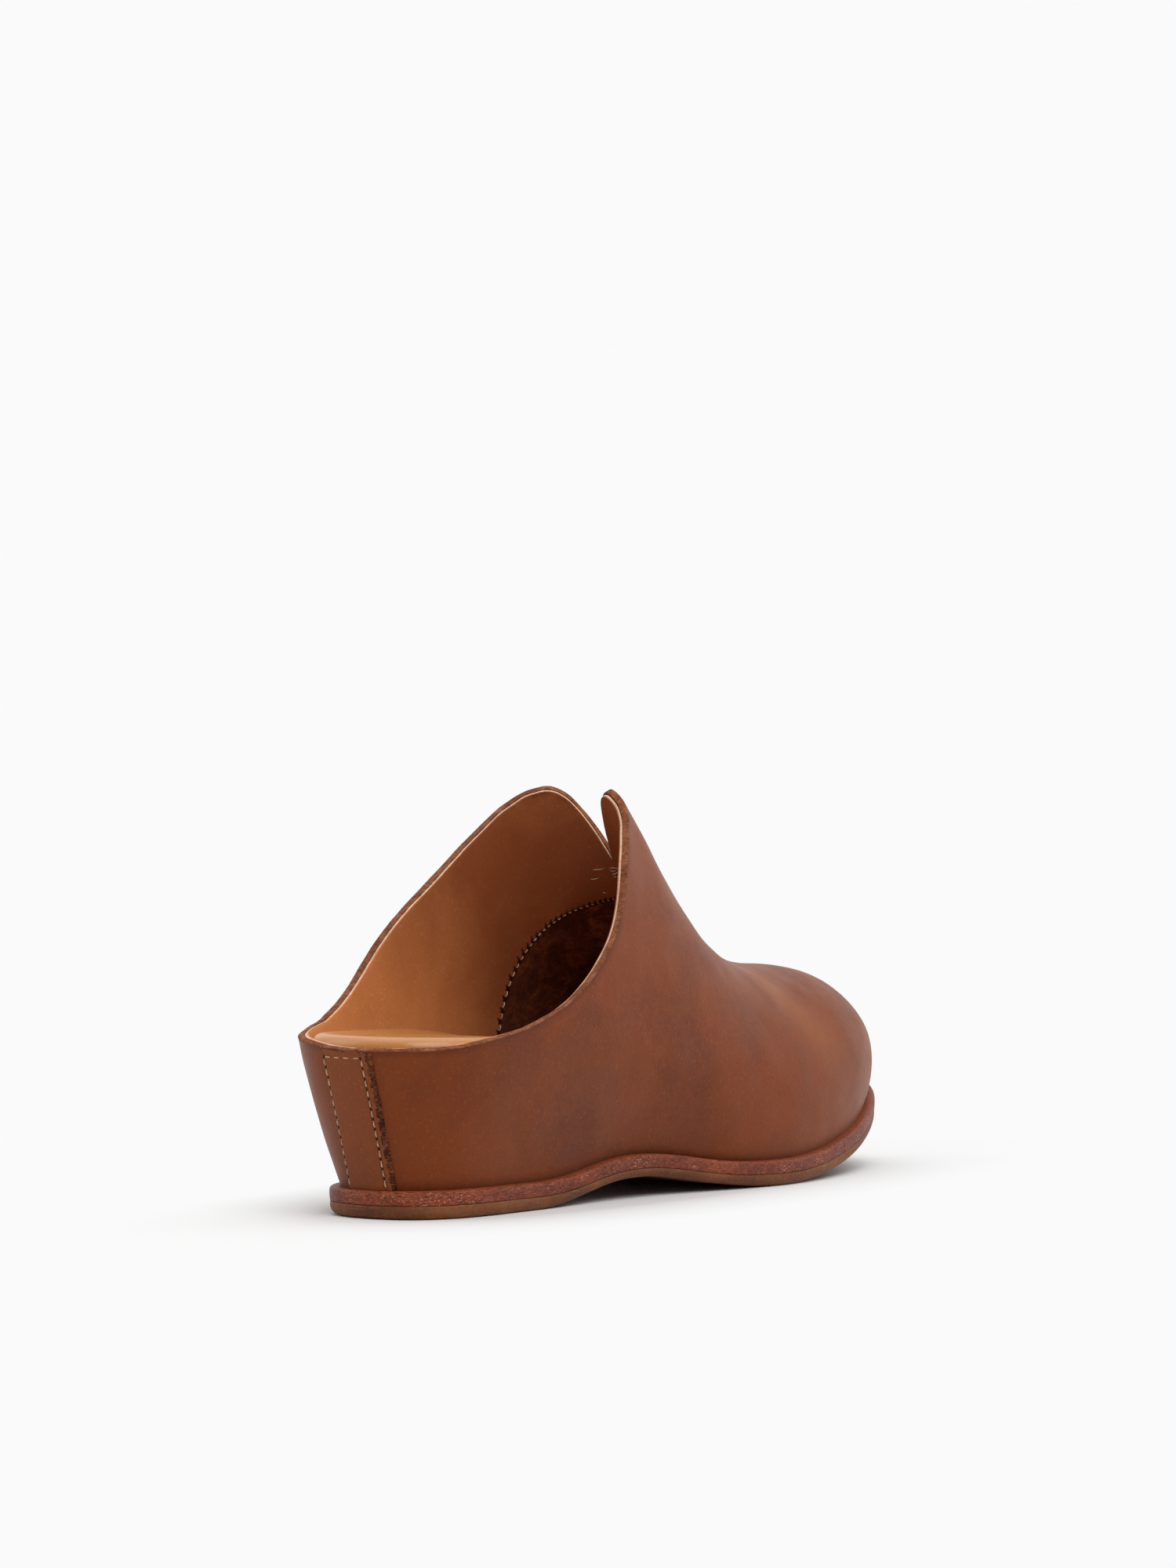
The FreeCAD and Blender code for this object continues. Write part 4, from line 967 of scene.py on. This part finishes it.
# stitches along the lining seam, on the inside, with dark ticks beside them
def seam_pt(side, t, dx, d=3.12):
    m = 118.0
    for _ in range(18):
        p = wall(m, side, t, d)
        m += 0.6*(seam_x(p[2])+dx-p[0])
    m = float(m)
    return np.array(wall(m, side, t, d)), np.array(normal(m, side, t))
items = []; holes = []
for side in (-1, 1):
    n = 30
    for i in range(n):
        t0 = 0.40+(0.995-0.40)*(i+0.24)/n; t1 = 0.40+(0.995-0.40)*(i+0.80)/n
        p0, n0_ = seam_pt(side, t0, 0.15); p1, n1_ = seam_pt(side, t1, 0.15)
        thick = float(np.interp(t0, [0.4, 0.70, 0.85, 1.0], [0.18, 0.15, 0.08, 0.06]))
        items.append(stitch(p0, p1, -(n0_+n1_)/2, thick, float(np.interp(t0, [0.6, 0.85], [0.20, 0.04])), 0.25, 7))
        j = rng.normal()*0.35
        q0, m0 = seam_pt(side, t0-0.14/n, 0.1); q1, m1 = seam_pt(side, t0-0.14/n+0.10/n, -1.75+j)
        holes.append(tube([q0-m0*0.03, (q0+q1)/2-(m0+m1)*0.04, q1+m1*0.05], [0.30, 0.34, 0.12], 8))
        q1, m1 = seam_pt(side, t0-0.20/n-0.10/n, -1.0)
        holes.append(tube([q0-m0*0.03, (q0+q1)/2-(m0+m1)*0.03, q1+m1*0.05], [0.24, 0.26, 0.10], 8))
        q0, m0 = seam_pt(side, t0-0.14/n, 0.2); q1, m1 = seam_pt(side, t0-0.05/n, 1.3+j)
        holes.append(tube([q0-m0*0.02, (q0+q1)/2-(m0+m1)*0.02, q1+m1*0.05], [0.20, 0.24, 0.10], 8))
ls = threads_object("lining_seam_threads", items, M_THREAD_PALE, holes)
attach(ls, "root"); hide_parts("lining_stitching")

# bar tack just below the notch, inside
items = []
for i in range(4):
    m = X_NOTCH+0.6+0.55*i
    wdt = (1.0, 0.55, 0.75, 0.45)[i]
    pts = []
    for k in range(9):
        u = -1+2*k/8
        side = -1 if u < 0 else 1
        p = np.array(wall(m, side, 1-0.042*abs(u)*wdt, 3.12)); n_ = np.array(normal(m, side, 1-0.042*abs(u)*wdt))
        pts.append(p-n_*(0.10-0.42*abs(u)**6)+np.array([0.45*math.sin(i*2.7+u*2.4), 0, 0]))
    items.append(tube(pts, [0.12 if k in (0, 8) else 0.17 for k in range(9)]))
for j, (dx, dt, ln) in enumerate(((0.5, 0.050, 0.05), (1.6, 0.085, 0.035), (5.2, 0.085, 0.012))):
    p = np.array(wall(X_NOTCH+dx, 1, 1-dt, 3.12)); q = np.array(wall(X_NOTCH+dx-0.7, 1, 1-dt-ln, 3.12)); n_ = np.array(normal(X_NOTCH+dx, 1, 1-dt))
    items.append(stitch(p, q, -n_, 0.13, 0.10, 0.3, 6))
bt = threads_object("notch_tack_threads", items, M_THREAD_PALE)
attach(bt, "root"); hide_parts("notch_bar_tack")

# ================================================================ stage, light, camera
def stage_mat():
    """matt white floor near the clog; outside an ellipse round it the floor glows white, painted light that cuts the
    shadow short
    """
    m, nt, b = NT("studio_floor"); g = G(nt)
    x, y, z = g.sep()
    ex = g.math("MULTIPLY", x, 1/0.126); ey = g.math("MULTIPLY", y, 1/0.040)
    r = g.math("SQRT", g.math("ADD", g.math("MULTIPLY", ex, ex), g.math("MULTIPLY", ey, ey)))
    # painted light: glow weight, 0 inside the ellipse round the sole, full emission further out
    far = g.math("POWER", g.mapr(r, 1.02, 1.85, 0.0, 1.0), 0.7)
    n = g.noise(3.0, 2)
    near_col = g.ramp(n, [(0.0, (0.695, 0.695, 0.695)), (1.0, (0.705, 0.705, 0.705))])
    nt.links.new(g.mix(far, near_col, (0.0, 0.0, 0.0)), b.inputs["Base Color"])
    b.inputs["Emission Color"].default_value = (0.955, 0.955, 0.955, 1)
    nt.links.new(far, b.inputs["Emission Strength"])
    b.inputs["Roughness"].default_value = 1.0
    b.inputs["Specular IOR Level"].default_value = 0.0
    return m
me = bpy.data.meshes.new("studio_floor")
me.from_pydata([(-30, -30, 0), (30, -30, 0), (30, 30, 0), (-30, 30, 0)], [], [(0, 1, 2, 3)])
me.materials.append(stage_mat())
floor = link(bpy.data.objects.new("studio_floor", me))

# the room: white behind and above the clog, softer grey on the other side
AXIS = Vector((0.829*0.75, 0.559*0.75, 0.66)).normalized()
ROOM_DARK, ROOM_WHITE = 0.26, 0.955
w = bpy.data.worlds.new("studio"); bpy.context.scene.world = w
w.use_nodes = True
wn = w.node_tree; bg = wn.nodes["Background"]
wc = wn.nodes.new("ShaderNodeTexCoord"); dp = wn.nodes.new("ShaderNodeVectorMath"); dp.operation = "DOT_PRODUCT"
dp.inputs[1].default_value = AXIS
wn.links.new(wc.outputs["Generated"], dp.inputs[0])
mr = wn.nodes.new("ShaderNodeMapRange"); mr.interpolation_type = "SMOOTHSTEP"
for i, x in enumerate((-0.05, 0.52, ROOM_DARK, ROOM_WHITE)): mr.inputs[i+1].default_value = x
wn.links.new(dp.outputs["Value"], mr.inputs[0])
bg.inputs[0].default_value = (1, 1, 1, 1)
wn.links.new(mr.outputs[0], bg.inputs[1])

AL = math.radians(34.0); CA, SA = math.cos(AL), math.sin(AL)
D0, TT, HH = 1216.0, -60.325, 117.23
cx = -D0*CA-TT*SA; cy = -D0*SA+TT*CA
cam_pos = to_row([(cx, cy, HH)])[0]
cd = bpy.data.cameras.new("camera"); cam = link(bpy.data.objects.new("camera", cd))
cd.sensor_width = 36.0; cd.lens = 5760.0/2000.0*36.0
cd.clip_start = 0.05; cd.clip_end = 60
cam.location = Vector(cam_pos)
cam.rotation_euler = Vector((CA, SA, 0)).to_track_quat("-Z", "Y").to_euler()
bpy.context.scene.camera = cam

def area(name, loc, aim, size, power, color=(1, 1, 1)):
    ld = bpy.data.lights.new(name, "AREA"); ld.shape = "RECTANGLE"; ld.size, ld.size_y = size
    ld.energy = power; ld.color = color
    o = link(bpy.data.objects.new(name, ld)); o.location = loc
    o.rotation_euler = (Vector(aim)-Vector(loc)).to_track_quat("-Z", "Y").to_euler()
    return o
dirv = Vector((CA, SA, 0)); rgt = Vector((SA, -CA, 0)); mid = Vector((0, 0, 0.05))
area("key_softbox", mid+Vector((-0.58, -1.0, 1.20)), mid, (1.2, 1.2), 18)
area("top_softbox", mid+Vector((0, 0, 1.6))+dirv*0.35, mid, (1.8, 1.4), 4.5)
area("left_softbox", mid-rgt*1.5+dirv*0.1+Vector((0, 0, 0.7)), mid, (1.0, 1.2), 5.0, (1.0, 0.93, 0.86))
area("right_softbox", mid+rgt*1.5+dirv*0.5+Vector((0, 0, 0.6)), mid, (0.9, 1.2), 3.0)

sc = bpy.context.scene
sc.view_settings.view_transform = "Standard"
sc.view_settings.look = "None"
sc.view_settings.exposure = 0.0
sc.view_settings.gamma = 1.0
